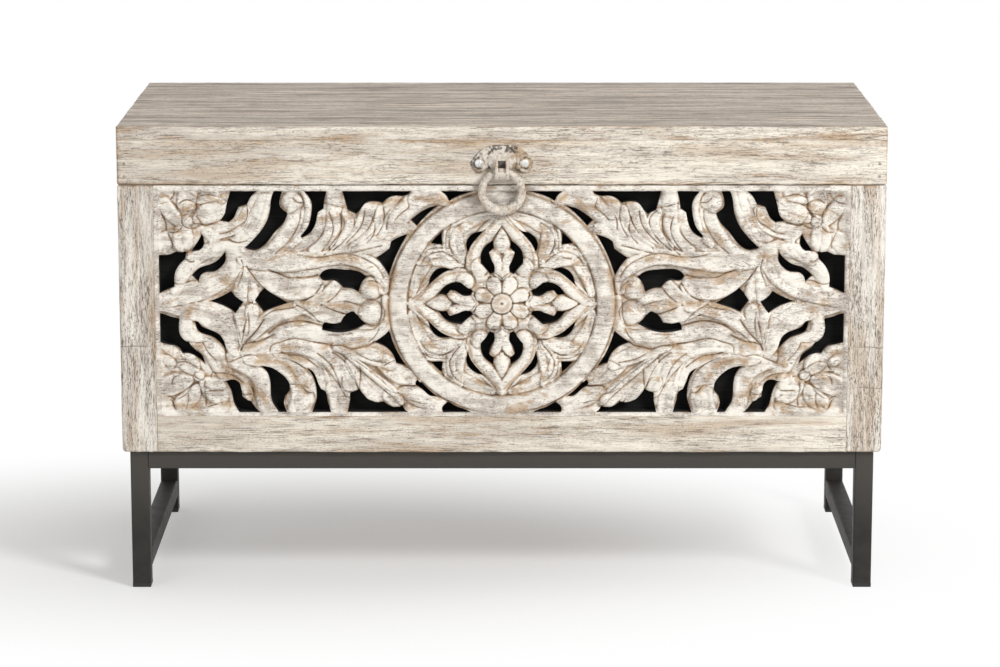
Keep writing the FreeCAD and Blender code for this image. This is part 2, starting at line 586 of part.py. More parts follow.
# Lid top of three boards with tongues, and two battens screwed up into every board
batten_x = {"left": "-lid_batten_spacing / 2", "right": "lid_batten_spacing / 2"}
batten_bottom = "lid_board_bottom - lid_batten_height"
lid_boards = {"front": ("front", "lid_edge_board_depth"),
              "middle": ("front + lid_edge_board_depth", "lid_middle_board_depth"),
              "back": ("back - lid_edge_board_depth", "lid_edge_board_depth")}
batten_spots = {name: [(x, f"{y} + {depth} / 2", batten_bottom) for x in batten_x.values()]
                for name, (y, depth) in lid_boards.items()}
tongue_z = "lid_board_bottom + (lid_top_thickness - board_tongue) / 2"
for name, (y, depth) in lid_boards.items():
    board = block(f"lid_{name}_board_blank", ("trunk_width", depth, "lid_top_thickness"),
                  ("-half_width", y, "lid_board_bottom"))
    if name != "front":
        board = cut(board, block(f"lid_{name}_groove", ("trunk_width", "board_tongue", "board_tongue"),
                                 ("-half_width", y, tongue_z)))
    if name != "back":
        board = join(board, block(f"lid_{name}_tongue", ("trunk_width", "board_tongue", "board_tongue"),
                                  ("-half_width", f"{y} + {depth}", tongue_z)))
    pilots = [(x, spot_y, "lid_board_bottom") for x, spot_y, z in batten_spots[name]]
    board = drilled(board, pilots, ALONG_Z, "screw_hole", "batten_screw_bite + hole_clearance")
    finish(f"lid_{name}_board", board)
for side, x in batten_x.items():
    batten = block(f"lid_{side}_batten_blank", ("lid_batten_width", "inner_depth", "lid_batten_height"),
                   (x + " - lid_batten_width / 2", "frame_back", batten_bottom))
    holes = [(x, spots[0][1], batten_bottom) for spots in batten_spots.values()]
    finish(f"lid_{side}_batten", drilled(batten, holes, ALONG_Z, "screw_hole", "lid_batten_height"))
fasteners("lid_batten_screws", screw("lid_batten_height + batten_screw_bite"),
          [spot for spots in batten_spots.values() for spot in spots], ALONG_Z)


# Hinges
def hinge_leaf(label, middle, plate_z, strap_z, knuckles, screw_z):
    """A plate with knuckles rolled round the pin, one of them with the heel that stops the lid."""
    left_end = f"{middle} - hinge_length / 2"
    plate_height = "leaf_height - barrel_radius - knuckle_gap"
    plate_size = ("hinge_length", "leaf_thickness", plate_height)
    parts = [block(label + "_plate", plate_size, (left_end, "back", plate_z))]
    knuckle_length = "knuckle_pitch - knuckle_gap"
    strap_size = (knuckle_length, "leaf_thickness", "barrel_radius + knuckle_gap")
    for number in knuckles:
        start = f"{left_end} + {number} * knuckle_pitch + knuckle_gap / 2"
        on_axis = (start, "hinge_y", "hinge_z")
        parts.append(block(label + "_strap", strap_size, (start, "back", strap_z)))
        parts.append(rod(label + "_knuckle", ALONG_X, "barrel_radius", knuckle_length, on_axis))
        if number == HEEL_KNUCKLE:
            parts.append(block(label + "_heel", (knuckle_length, "heel_reach", "barrel_radius + heel_top"),
                               (start, "hinge_y", "hinge_z - barrel_radius")))
    bore_start = (left_end, "hinge_y", "hinge_z")
    bore = rod(label + "_bore", ALONG_X, "pin_radius + pin_clearance", "hinge_length", bore_start)
    spots = [(f"{middle} {offset}", "back", screw_z) for offset in leaf_screw_offsets]
    finish(label, drilled(cut(join(*parts), bore), spots, ALONG_Y, "screw_hole", "leaf_thickness"))


for side, x in hinge_x.items():
    hinge_leaf(f"{side}_hinge_box_leaf", x, "hinge_z - leaf_height", "hinge_z - barrel_radius - knuckle_gap",
               BOX_KNUCKLES, "hinge_z - hinge_screw_drop")
    hinge_leaf(f"{side}_hinge_lid_leaf", x, "hinge_z + barrel_radius + knuckle_gap", "hinge_z",
               LID_KNUCKLES, "hinge_z + hinge_screw_drop")
    finish(f"{side}_hinge_pin", rod(f"{side}_hinge_pin", ALONG_X, "pin_radius", "hinge_length + 2 * pin_end",
                                    (f"{x} - hinge_length / 2 - pin_end", "hinge_y", "hinge_z")))
leaf_screw = screw("leaf_thickness + hinge_screw_bite")
leaf_face = "back + leaf_thickness"
fasteners("hinge_box_screws", leaf_screw, leaf_spots(leaf_face, "hinge_z - hinge_screw_drop"), AGAINST_Y)
fasteners("hinge_lid_screws", leaf_screw, leaf_spots(leaf_face, "hinge_z + hinge_screw_drop"), AGAINST_Y)

# Pull: a cast plate with two lobes and a slotted lug, and a ring that hangs in the lug
plate_y = "front - plate_thickness"
disc_middle = ("0", plate_y, "pull_z + plate_rise")
plate_parts = [rod("pull_disc", ALONG_Y, "plate_radius", "plate_thickness", disc_middle)]
for spot in pull_spots:
    lobe = doc.addObject("Part::Prism", "pull_lobe")
    lobe.Polygon = 6
    lobe.Placement = FreeCAD.Placement(Vector(), FreeCAD.Rotation(ALONG_Z, ALONG_Y))
    bind(lobe, Circumradius="lobe_radius", Height="plate_thickness")
    place(lobe, (spot[0], plate_y, spot[2]))
    plate_parts.append(lobe)
lug_left = "-lug_width / 2"
nose_radius = "lug_bore + lug_wall"
plate_parts.append(rod("pull_lug_nose", ALONG_X, nose_radius, "lug_width", (lug_left, "pull_y", "pull_z")))
crown_middle = (lug_left, "pull_y", "pull_z + crown_rise")
plate_parts.append(rod("pull_lug_crown", ALONG_X, "lug_crown", "lug_width", crown_middle))
root_size = ("lug_width", "pull_stand_off", f"{nose_radius} + crown_rise + lug_crown")
plate_parts.append(block("pull_lug_root", root_size, (lug_left, "pull_y", f"pull_z - ({nose_radius})")))
lug_bore = rod("pull_lug_bore", ALONG_X, "lug_bore", "lug_width", (lug_left, "pull_y", "pull_z"))
slot = block("pull_slot", ("slot_width", nose_radius, "slot_drop + slot_rise"),
             ("-slot_width / 2", f"pull_y - ({nose_radius})", "pull_z - slot_drop"))
plate = cut(join(*plate_parts), lug_bore, slot)
screw_seats = [(x, plate_y, z) for x, y, z in pull_spots]
finish("pull_plate", drilled(plate, screw_seats, ALONG_Y, "screw_hole", "plate_thickness"))
fasteners("pull_screws", screw("plate_thickness + pull_screw_bite"), screw_seats, ALONG_Y)
ring = doc.addObject("Part::Torus", "pull_ring")
ring.Placement = FreeCAD.Placement(Vector(), FreeCAD.Rotation(ALONG_Z, ALONG_Y))
bind(ring, Radius1="ring_radius", Radius2="ring_wire")
place(ring, ("0", "pull_y", "pull_z - ring_radius"))
finish("pull_ring", ring)

doc.recompute()
for thing in doc.Objects:
    if "Invalid" in thing.State or "Error" in thing.State:
        raise RuntimeError(f"{thing.Label} did not recompute: {thing.State}")
os.makedirs("parts", exist_ok=True)
for thing in finished:
    if thing.Shape.isNull() or not thing.Shape.isValid():
        raise RuntimeError(f"{thing.Label} has no valid shape")
    thing.Shape.exportStep(f"parts/{thing.Label}.step")
print(len(finished), "sub-parts written")
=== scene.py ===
"""Carved, whitewashed wooden trunk on a welded steel stand, dressed over its CAD frame."""
import itertools
import math

import bpy
import numpy as np
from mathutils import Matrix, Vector
from mathutils.geometry import tessellate_polygon


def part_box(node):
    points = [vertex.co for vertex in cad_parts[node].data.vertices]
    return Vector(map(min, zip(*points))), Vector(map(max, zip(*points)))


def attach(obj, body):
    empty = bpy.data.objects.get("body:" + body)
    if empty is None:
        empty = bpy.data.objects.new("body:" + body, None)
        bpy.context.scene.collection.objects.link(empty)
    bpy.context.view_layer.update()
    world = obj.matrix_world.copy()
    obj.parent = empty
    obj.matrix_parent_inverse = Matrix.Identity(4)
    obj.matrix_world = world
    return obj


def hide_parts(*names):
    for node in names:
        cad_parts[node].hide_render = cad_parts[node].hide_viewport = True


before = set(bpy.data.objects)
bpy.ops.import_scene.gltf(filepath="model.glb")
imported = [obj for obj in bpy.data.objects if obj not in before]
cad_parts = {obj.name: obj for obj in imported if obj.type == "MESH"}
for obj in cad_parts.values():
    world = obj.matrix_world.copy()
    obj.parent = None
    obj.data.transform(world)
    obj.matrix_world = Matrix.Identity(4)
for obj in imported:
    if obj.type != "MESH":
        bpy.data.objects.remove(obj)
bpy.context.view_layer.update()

bl_info = {
    "name": "Carved Trunk",
    "version": (1, 0, 0),
    "blender": (4, 5, 0),
    "location": "View3D > Sidebar > Trunk",
    "description": "Dresses the trunk's CAD frame with worn boards, carving, steel and studio light",
    "category": "Object",
}

# Sizes and places of the trunk, in millimetres
MM = 0.001
HALF_WIDTH = 450.0
SIDE_INNER = 432.0
FRONT_Y = -200.0
FRONT_INNER_Y = -178.0
BACK_INNER_Y = 182.0
BACK_Y = 200.0
BOX_LOW = 168.0
BOX_SEAM = 328.0
BOX_TOP = 488.0
LID_LOW = 488.8
LID_SEAT = 541.8
LID_TOP = 557.8
LID_SEAM_Y = 67.0
TUBE_SIZE = 22.0

# The pull: its plate's middle height, its screws, and the axis and sizes of its loose ring
PLATE_MIDDLE = 517.8
PULL_SCREW_OUT = 27.0
PULL_SCREW_DROP = 3.0
HANG_Y = -210.5
HANG_Z = 505.8
LOOSE_RING_OUTER = 28.0
LOOSE_RING_CENTRE = 23.5
LOOSE_RING_WIRE = 4.5

# The carved panel, and from the medallion's middle its plain borders, its ring and its button
PANEL_HALF = 408.0
PANEL_LOW = 212.0
MEDALLION_Z = 347.0
FIELD_HALF = 404.0
FIELD_TOP = 134.0
FIELD_LOW = -131.0
RING_OUTER = 133.0
RING_INNER = 112.0
RING_MIDDLE = (RING_INNER + RING_OUTER) / 2
RING_WIDTH = RING_OUTER - RING_INNER
BUTTON_RADIUS = 12.0
BUTTON_GROOVE = 12.6

# How the carving is modelled: its ground, how far a piercing is felt, and what counts as far from an edge
GROUND_DEPTH = -5.5
PIERCING_REACH = 24.0
FAR = 60.0

# Outlines and strokes of the carving, in millimetres outwards and upwards from the medallion's middle.
# A piercing starts at its first point, every run after it is one smooth stretch between corners,
# and the last run closes it.
LEAF_HOLES = {
    "upper_flower_side": [[(318, 134)], [(286, 134)], [(293, 128), (299, 117)], [(309, 114)],
                          [(312, 107), (315, 101), (321, 96)], [(331, 98)],
                          [(325, 107), (323, 116), (320, 127)]],
    "upper_flower_drop": [[(352, 82)], [(350, 75), (352, 66), (356, 63)], [(365, 62)], [(358, 72)]],
    "upper_stile_gap": [[(403, 58)], [(390, 58), (383, 61), (371, 61)], [(372, 53)],
                        [(379, 46), (384, 37), (385, 20)], [(396, 15), (403, 12)], []],
    "upper_curl": [[(325, 62)], [(332, 53), (343, 46), (355, 42), (365, 33)], [(357, 25)],
                   [(355, 32), (350, 36), (340, 37), (331, 42), (325, 51)]],
    "upper_long_slit": [[(267, 134)], [(257, 134)], [(260, 125), (260, 115), (251, 107)],
                        [(256, 96), (267, 84), (277, 71), (291, 63), (302, 66)],
                        [(289, 79), (277, 95), (272, 111), (270, 126)]],
    "upper_hook": [[(232, 134)], [(205, 134)], [(208, 123), (209, 113)], [(216, 108)],
                   [(219, 94), (226, 83), (235, 78)], [(236, 81)], [(228, 91), (224, 104), (224, 122)]],
    "upper_edge_gap": [[(187, 134)], [(106, 134)], [(111, 129), (117, 127)],
                       [(125, 128), (132, 126), (140, 119)], [(149, 121), (160, 119), (167, 110), (171, 106)],
                       [(181, 111)], [(185, 126)]],
    "upper_ring_top": [[(72, 134)], [(30, 134)], [(44, 130), (62, 122)], [(65, 128)]],
    "upper_ring_slit": [[(75, 116)], [(87, 113), (97, 107), (107, 99)], [(100, 92)], [(89, 104)]],
    "upper_ring_side": [[(111, 82)], [(121, 79), (130, 74)], [(132, 65)], [(140, 59), (148, 54)],
                        [(141, 46), (133, 33)], [(125, 55)]],
    "upper_scroll": [[(215, 32)], [(211, 37), (186, 40), (168, 37), (159, 31)], [(165, 24), (169, 13)],
                     [(177, 17), (187, 18)], [(192, 24), (196, 27), (211, 27)]],
    "outer_diamond": [[(344, 2)], [(330, 8), (319, 14)], [(312, 7), (304, 2)], [(309, -5), (314, -12)],
                      [(327, -4)]],
    "inner_diamond": [[(291, 3)], [(285, 12), (279, 18)], [(267, 9), (252, 0)], [(267, -5), (281, -11)],
                      [(286, -4)]],
    "lower_stile_gap": [[(403, -11)], [(392, -16), (380, -19)], [(381, -30), (377, -42), (369, -47)],
                        [(365, -54), (355, -62), (351, -73)], [(359, -66), (369, -60), (377, -60)],
                        [(385, -52), (394, -50), (403, -47)], []],
    "lower_curl": [[(362, -21)], [(358, -22)], [(353, -29), (344, -32), (332, -39), (325, -57)],
                   [(332, -49), (344, -40), (358, -34)]],
    "lower_flower_side": [[(327, -94)], [(318, -92), (311, -96), (308, -107)],
                          [(307, -113), (301, -117), (298, -118)], [(292, -126), (285, -131)], [(311, -131)],
                          [(317, -122), (320, -109)]],
    "lower_long_slit": [[(285, -75)], [(273, -77), (260, -85), (251, -100), (252, -107)], [(257, -113)],
                        [(258, -122), (254, -131)], [(264, -131)], [(272, -119), (274, -98), (277, -85)]],
    "lower_hook": [[(232, -77)], [(223, -83), (218, -94), (214, -103)], [(208, -107)],
                   [(206, -120), (202, -131)], [(225, -131)], [(220, -117), (220, -102), (225, -86)]],
    "lower_edge_gap": [[(183, -131)], [(180, -116), (180, -108)], [(169, -104)],
                       [(160, -114), (149, -119), (140, -119)], [(133, -124), (125, -125), (118, -124)],
                       [(114, -129), (102, -131)], []],
    "lower_ring_side": [[(133, -33)], [(141, -40), (151, -47)], [(138, -53), (129, -62), (125, -72)],
                        [(113, -76)], [(125, -56)]],
    "lower_scroll": [[(212, -32)], [(211, -25), (209, -23)], [(199, -24), (190, -23)],
                     [(184, -14), (175, -10), (168, -18), (160, -25)], [(174, -32), (192, -35)]],
    "lower_ring_slit": [[(100, -92)], [(94, -97)], [(87, -104), (77, -112)],
                        [(84, -112), (92, -106), (102, -99)], [(102, -95)]],
    "lower_ring_bottom": [[(64, -119)], [(53, -125), (44, -128), (35, -131)], [(70, -131)], [(71, -127)]],
}
MEDALLION_HOLES = {
    "diagonal_gap": [[(84, 71)], [(78, 78), (71, 84)], [(70, 70)], []],
    "crescent": [[(21, 87)], [(31, 84), (39, 78), (42, 70), (40, 60)], [(36, 69), (30, 77)]],
    "bud_side": [[(10, 75)], [(10, 70), (9, 66)], [(15, 61)], [(13, 53), (9, 46), (9, 37)], [(14, 34)],
                 [(19, 41), (25, 48)], [(24, 60), (18, 69)]],
}

# Cuts between leaves: the deep ones round the leaves' hub, then the rest
DEEP_CREASES = [
    [(300, 44), (294, 34), (287, 25), (280, 18)],
    [(281, -20), (289, -32), (296, -40), (305, -50), (308, -56)],
    [(306, -50), (296, -47), (288, -46), (280, -43), (270, -38)],
    [(275, 40), (264, 36), (253, 31), (240, 30), (225, 31), (217, 33)],
    [(275, -36), (263, -27), (251, -23), (234, -22), (213, -27)],
    [(200, -51), (186, -52), (178, -55), (166, -53), (157, -51), (151, -47)],
]
CREASES = [
    # upper flower
    [(378, 138), (368, 133), (357, 126)], [(406, 118), (396, 120), (389, 123), (384, 130), (384, 136)],
    [(389, 123), (381, 115), (375, 104), (374, 94), (370, 91)],
    [(401, 113), (397, 103), (394, 92), (394, 88), (388, 85), (379, 87), (375, 92)],
    [(392, 85), (388, 75), (382, 63)],
    [(378, 119), (372, 123), (365, 123), (359, 119), (358, 113), (368, 110)],
    [(374, 105), (366, 107), (358, 108)], [(358, 104), (353, 97), (350, 93), (342, 94), (334, 96)],
    [(357, 126), (349, 129), (339, 129), (332, 127)], [(370, 91), (363, 89), (355, 92)],
    # upper fronds
    [(299, 116), (298, 106), (302, 97), (311, 91), (321, 85), (331, 83)], [(321, 76), (313, 73), (299, 75)],
    [(299, 116), (307, 115), (312, 113)], [(385, 24), (377, 23), (368, 26), (359, 27)],
    [(371, 53), (366, 50), (362, 50)], [(250, 107), (242, 110), (234, 115)],
    [(245, 126), (240, 121), (232, 120)], [(236, 113), (237, 100), (243, 85), (253, 71), (266, 60)],
    [(203, 109), (199, 98), (198, 87), (203, 74), (211, 63)],
    [(190, 107), (188, 94), (192, 79), (200, 66), (209, 58)],
    [(181, 110), (174, 103), (173, 94), (179, 82), (189, 71), (199, 63)],
    [(208, 120), (194, 116), (181, 113)], [(161, 110), (164, 95), (171, 84), (183, 72)],
    [(152, 103), (149, 91), (151, 82), (159, 72)], [(139, 115), (138, 103), (142, 89), (147, 81)],
    [(115, 127), (121, 120), (128, 111), (134, 101), (135, 89)],
    [(108, 132), (111, 123), (109, 116), (116, 109), (125, 100)], [(141, 69), (161, 64), (180, 59)],
    # upper scroll
    [(240, 58), (216, 55), (192, 59), (178, 59), (161, 53), (147, 44), (139, 31)],
    [(167, 12), (168, 19), (162, 25), (153, 27), (143, 23), (139, 15)],
    [(211, 24), (217, 15), (226, 7), (237, 2)], [(191, 15), (198, 7), (205, 2)],
    # lily
    [(306, 52), (304, 42), (307, 31), (311, 21)], [(305, -34), (302, -23), (299, -11)],
    [(299, -13), (298, -25), (300, -39)], [(315, -20), (311, -31), (309, -42)],
    # lower fronds
    [(370, -46), (362, -47), (355, -47)], [(353, -47), (349, -55), (343, -63), (338, -68)],
    [(326, -58), (326, -66), (324, -72)], [(323, -71), (311, -66), (300, -62), (289, -63)],
    [(339, -84), (327, -84), (315, -89), (307, -95)], [(307, -110), (296, -110)],
    [(300, -97), (294, -107), (296, -117)], [(260, -59), (251, -62), (240, -63), (228, -69), (218, -77)],
    [(250, -97), (243, -98), (236, -101), (231, -107), (225, -108)],
    [(200, -59), (186, -70), (178, -82), (172, -96), (170, -104)],
    [(218, -60), (204, -72), (196, -87), (191, -101)], [(189, -89), (189, -100), (184, -106), (178, -107)],
    [(168, -75), (167, -84), (168, -96), (169, -104)],
    [(178, -66), (168, -72), (160, -78), (151, -85), (138, -96), (126, -108)],
    [(138, -102), (128, -107), (119, -110), (115, -117), (116, -123)],
    [(121, -101), (113, -99), (103, -100)], [(139, -74), (133, -71), (127, -69)],
    [(116, -117), (107, -117), (97, -120)], [(186, -56), (174, -58), (164, -64), (154, -68), (138, -71)],
    # lower scroll
    [(274, -58), (272, -51), (263, -47), (251, -43), (238, -43), (225, -46), (206, -49)],
    [(282, -17), (269, -9), (251, -6), (243, -4)], [(242, -2), (232, -7), (223, -14), (215, -23)],
    [(213, -1), (199, -8), (186, -13)], [(160, -24), (154, -27), (146, -26), (140, -19), (138, -8)],
    [(145, -30), (149, -38), (157, -46)], [(204, -37), (186, -37), (177, -36)],
    # lower flower
    [(363, -83), (355, -83), (351, -87), (353, -91), (360, -90), (364, -85)],
    [(392, -83), (382, -84), (370, -87)], [(390, -97), (389, -91), (379, -85)],
    [(401, -108), (395, -111), (388, -116)],
    [(391, -117), (388, -123), (385, -129), (370, -127), (352, -125)],
    [(352, -125), (343, -123), (334, -120), (323, -117)], [(346, -105), (330, -105)],
    [(351, -94), (352, -103), (350, -113), (351, -125)], [(372, -106), (365, -98), (358, -95)],
    [(384, -115), (375, -110), (368, -103)], [(400, -60), (391, -63), (384, -71), (388, -79)],
    [(384, -71), (375, -70), (363, -75), (353, -82)], [(372, -106), (371, -115), (374, -126)],
]
# Soft gouges along leaves
FLUTES = [
    # flowers
    [(384, 113), (394, 104)], [(362, 116), (346, 120), (333, 121)], [(355, 103), (342, 107), (328, 111)],
    [(375, 84), (375, 71)], [(364, 87), (359, 76)], [(398, 129), (391, 128)], [(396, -68), (397, -77)],
    [(375, -60), (374, -68)], [(394, -103), (382, -100)], [(364, -113), (362, -121)],
    [(342, -96), (332, -101)], [(342, -111), (330, -110)], [(379, -91), (377, -101)],
    # fronds
    [(283, 132), (291, 114), (296, 94), (307, 79)], [(275, 132), (280, 113), (289, 91), (301, 72)],
    [(324, 65), (334, 59), (346, 51), (359, 44), (370, 34)], [(339, 81), (340, 70), (347, 60), (355, 52)],
    [(319, 58), (321, 44), (328, 30), (344, 19), (370, 14), (394, 11)],
    [(312, 51), (313, 37), (320, 24), (332, 14)], [(228, 123), (229, 106), (235, 89), (245, 72), (259, 60)],
    [(213, 108), (210, 91), (213, 75), (225, 63)],
    [(138, 77), (157, 72), (180, 65), (204, 60), (234, 58), (263, 55)],
    [(210, 47), (186, 52), (166, 46), (152, 34)], [(266, 46), (249, 42), (228, 40)],
    [(269, 13), (251, 18), (232, 20), (218, 24)], [(100, 125), (85, 128), (74, 130)],
    [(130, 82), (121, 89), (109, 96)], [(358, -2), (340, -7), (325, -18), (317, -32), (314, -49)],
    [(382, -2), (358, -8), (339, -15), (325, -27)],
    [(374, -34), (363, -43), (350, -51), (340, -64), (336, -77)],
    [(273, -20), (257, -14), (242, -12), (225, -19)], [(266, -37), (251, -33), (234, -32), (213, -34)],
    [(198, -44), (183, -44), (168, -42), (159, -36)], [(257, -52), (240, -52), (223, -57), (209, -68)],
    [(281, -66), (263, -71), (249, -82), (241, -95)], [(240, -77), (230, -91), (225, -108), (226, -123)],
    [(305, -71), (292, -77), (282, -91), (280, -108)], [(192, -72), (187, -84), (180, -98), (175, -104)],
    [(209, -94), (211, -84), (218, -72)], [(194, -110), (193, -122)], [(154, -101), (164, -89), (171, -77)],
    [(126, -115), (130, -103), (140, -94)], [(107, -109), (92, -113), (78, -120)],
    [(142, -60), (128, -77), (114, -91)], [(318, -77), (311, -84), (302, -94)],
]
# Stretches where the wash is rubbed off
WORN_BANDS = [
    [(366, -6), (370, -15)], [(363, -50), (353, -52)], [(337, -85), (320, -88), (306, -96)],
    [(299, -98), (296, -115)], [(289, -70), (269, -69), (251, -77), (244, -91)], [(249, -63), (232, -68)],
    [(151, 121), (133, 122), (117, 123)], [(74, 128), (65, 122)], [(216, 53), (192, 56), (171, 53)],
    [(268, -6), (249, -2)], [(234, 1), (218, 0)], [(204, -2), (178, -4)], [(355, 98), (358, 83)],
    [(302, 106), (315, 94)], [(202, -49), (210, -53)], [(159, -51), (175, -56)], [(119, -103), (114, -113)],
    [(331, -120), (315, -122)], [(296, -98), (289, -108)], [(133, -25), (133, 11), (126, 39)],
    [(240, -98), (232, -106)], [(285, -108), (280, -117)], [(400, -58), (390, -59)],
    [(387, -123), (358, -122)], [(325, 13), (339, 6)], [(283, -44), (299, -53)],
    [(164, 20), (154, 24), (144, 20)], [(384, 88), (378, 87)], [(372, 112), (358, 118)],
]
# Leaves: height of the top, how far it is gouged hollow, then places along the middle with half widths
LEAVES = [
    # upper fronds
    (-1.6, 0.3, [(310, 72, 11), (295, 90, 13), (282, 114, 11), (275, 137, 11)]),
    (-2.6, 0.8, [(336, 83, 7), (322, 86, 7), (307, 95, 7), (300, 111, 5)]),
    (-1.4, 0.4, [(240, 118, 13), (241, 100, 13), (251, 80, 13), (269, 62, 10), (289, 54, 8)]),
    (-0.8, 0.0, [(230, 134, 6), (225, 119, 6), (227, 100, 5), (234, 82, 5), (246, 70, 4)]),
    (-2.6, 0.8, [(208, 111, 7), (214, 94, 9), (227, 77, 9), (249, 65, 8), (270, 59, 6)]),
    (-1.2, 0.3, [(196, 137, 11), (196, 116, 10), (198, 94, 9), (206, 75, 8), (221, 63, 6)]),
    (-1.8, 0.5, [(181, 108, 7), (176, 96, 8), (181, 81, 8), (196, 67, 6)]),
    (-2.4, 0.8, [(155, 118, 11), (160, 103, 10), (169, 85, 9), (186, 69, 7)]),
    (-1.6, 0.7, [(141, 111, 7), (145, 93, 8), (157, 77, 8), (175, 66, 6)]),
    (-2.6, 0.7, [(125, 124, 10), (134, 111, 9), (141, 92, 8)]),
    (-1.0, 0.4, [(66, 123, 8), (87, 127, 12), (108, 115, 14), (129, 94, 13), (149, 75, 9), (172, 63, 6)]),
    (-2.2, 0.3, [(114, 88, 9), (133, 75, 10), (159, 65, 8), (186, 60, 6), (227, 56, 6), (265, 57, 7)]),
    # upper scroll
    (-0.9, 0.5, [(300, 54, 12), (270, 50, 13), (238, 50, 11), (210, 53, 9), (183, 55, 9), (159, 49, 10),
                 (142, 35, 9), (139, 17, 7)]),
    (-2.0, 0.8, [(294, 39, 9), (270, 26, 14), (243, 18, 16), (220, 20, 11)]),
    (-1.4, 0.9, [(193, 24, 7), (205, 11, 8), (227, -1, 7)]),
    (-2.4, 0.2, [(200, 7, 7), (183, 11, 9), (164, 4, 7)]),
    # outer upper
    (-1.4, 0.3, [(311, 62, 13), (330, 64, 11), (349, 60, 10), (367, 48, 11), (377, 32, 10), (383, 16, 8)]),
    (-2.4, 0.3, [(346, 85, 7), (337, 77, 8), (338, 66, 7)]),
    (-2.4, 0.6, [(403, 2, 9), (377, 10, 13), (349, 20, 15), (328, 33, 15), (313, 52, 14)]),
    (-0.8, 0.2, [(309, 7, 10), (306, 24, 9), (301, 42, 4)]),
    (-1.6, 0.2, [(294, 8, 9), (296, 24, 7), (300, 42, 3)]),
    # outer lower
    (-2.2, 0.8, [(403, -1, 8), (377, -5, 12), (349, -14, 14), (328, -31, 15), (314, -53, 12)]),
    (-1.6, 0.6, [(308, -9, 9), (306, -25, 8), (306, -48, 4)]),
    (-0.8, 0.6, [(294, -9, 9), (296, -25, 7), (304, -47, 3)]),
    (-1.2, 0.3, [(372, -19, 9), (372, -35, 10), (353, -47, 11), (337, -63, 13), (328, -82, 11)]),
    # lower scroll
    (-1.2, 0.5, [(307, -57, 5), (289, -31, 9), (266, -14, 11), (240, -6, 9), (219, -5, 5)]),
    (-2.2, 0.9, [(300, -53, 7), (273, -29, 9), (243, -23, 10), (215, -22, 7)]),
    (-1.6, 0.8, [(240, -1, 7), (219, -10, 10), (189, -20, 9)]),
    (-2.6, 0.5, [(208, 0, 5), (183, -5, 8), (167, -9, 6)]),
    (-1.0, 0.3, [(136, 6, 5), (135, -17, 7), (144, -39, 10), (170, -44, 12), (205, -39, 12), (243, -37, 11),
                 (276, -44, 9), (300, -59, 5)]),
    # lower fronds
    (-1.8, 0.4, [(303, -61, 7), (270, -52, 9), (240, -50, 11), (210, -61, 13), (189, -80, 14),
                 (178, -103, 11)]),
    (-2.6, 0.9, [(265, -59, 6), (238, -65, 8), (217, -82, 10), (208, -102, 8)]),
    (-1.4, 0.8, [(298, -66, 9), (265, -72, 11), (243, -87, 14), (236, -108, 15), (240, -133, 16)]),
    (-1.4, 0.4, [(323, -68, 10), (302, -74, 11), (285, -89, 12), (280, -111, 12), (274, -137, 13)]),
    (-2.6, 0.9, [(338, -88, 6), (317, -90, 7), (302, -103, 7), (298, -114, 5)]),
    (-1.8, 0.6, [(200, -102, 9), (194, -118, 11), (194, -137, 11)]),
    (-2.4, 0.9, [(178, -72, 8), (161, -91, 14), (149, -111, 14)]),
    (-1.2, 0.5, [(194, -51, 7), (164, -59, 11), (132, -72, 9)]),
    (-0.6, 0.0, [(181, -61, 4), (156, -83, 4), (132, -103, 5), (118, -118, 5)]),
    (-1.6, 0.7, [(140, -74, 8), (118, -86, 12), (102, -91, 8)]),
    (-2.0, 0.5, [(133, -111, 9), (125, -119, 9)]),
    (-1.4, 0.3, [(115, -107, 9), (91, -114, 13), (68, -122, 7)]),
    # upper flower
    (-1.0, 0.7, [(374, 104, 5), (371, 114, 10), (369, 126, 13)]),
    (-0.7, 0.6, [(357, 102, 6), (346, 108, 13), (335, 114, 16)]),
    (-0.8, 0.6, [(376, 95, 6), (386, 105, 9), (396, 117, 10)]),
    (-0.6, 0.5, [(372, 92, 6), (374, 82, 13), (374, 72, 13)]),
    (-1.8, 0.5, [(384, 84, 4), (393, 76, 11), (401, 68, 12)]),
    (-1.6, 0.4, [(354, 123, 5), (340, 131, 11)]),
    # lower flower
    (-0.7, 0.7, [(364, -81, 6), (369, -74, 12), (374, -68, 13)]),
    (-1.5, 0.4, [(380, -72, 5), (388, -65, 11), (394, -60, 11)]),
    (-1.0, 0.8, [(370, -92, 6), (382, -96, 13), (394, -100, 14)]),
    (-0.8, 0.6, [(361, -102, 5), (367, -112, 11), (376, -120, 12)]),
    (-0.6, 0.5, [(353, -96, 5), (344, -104, 11), (334, -110, 13)]),
    (-1.2, 0.4, [(352, -93, 5), (341, -97, 9), (334, -98, 8)]),
    (-1.8, 0.2, [(374, -131, 6), (350, -128, 7), (330, -122, 8)]),
]
# Buds: height of the top, how far it is gouged hollow, place and radius
FLOWER_BUDS = [
    (-0.5, 0.3, 367, 115, 8), (-0.9, 0.2, 368, 98, 6), (-0.4, 0.2, 392, -68, 8), (-0.3, 0.3, 358, -87, 7),
]
# Knobs: height of the top, place and radius
KNOBS = [
    (-0.2, 154, 18, 14), (-0.2, 154, -12, 15), (-0.3, 246, 121, 13), (-0.6, 239, -117, 17),
]

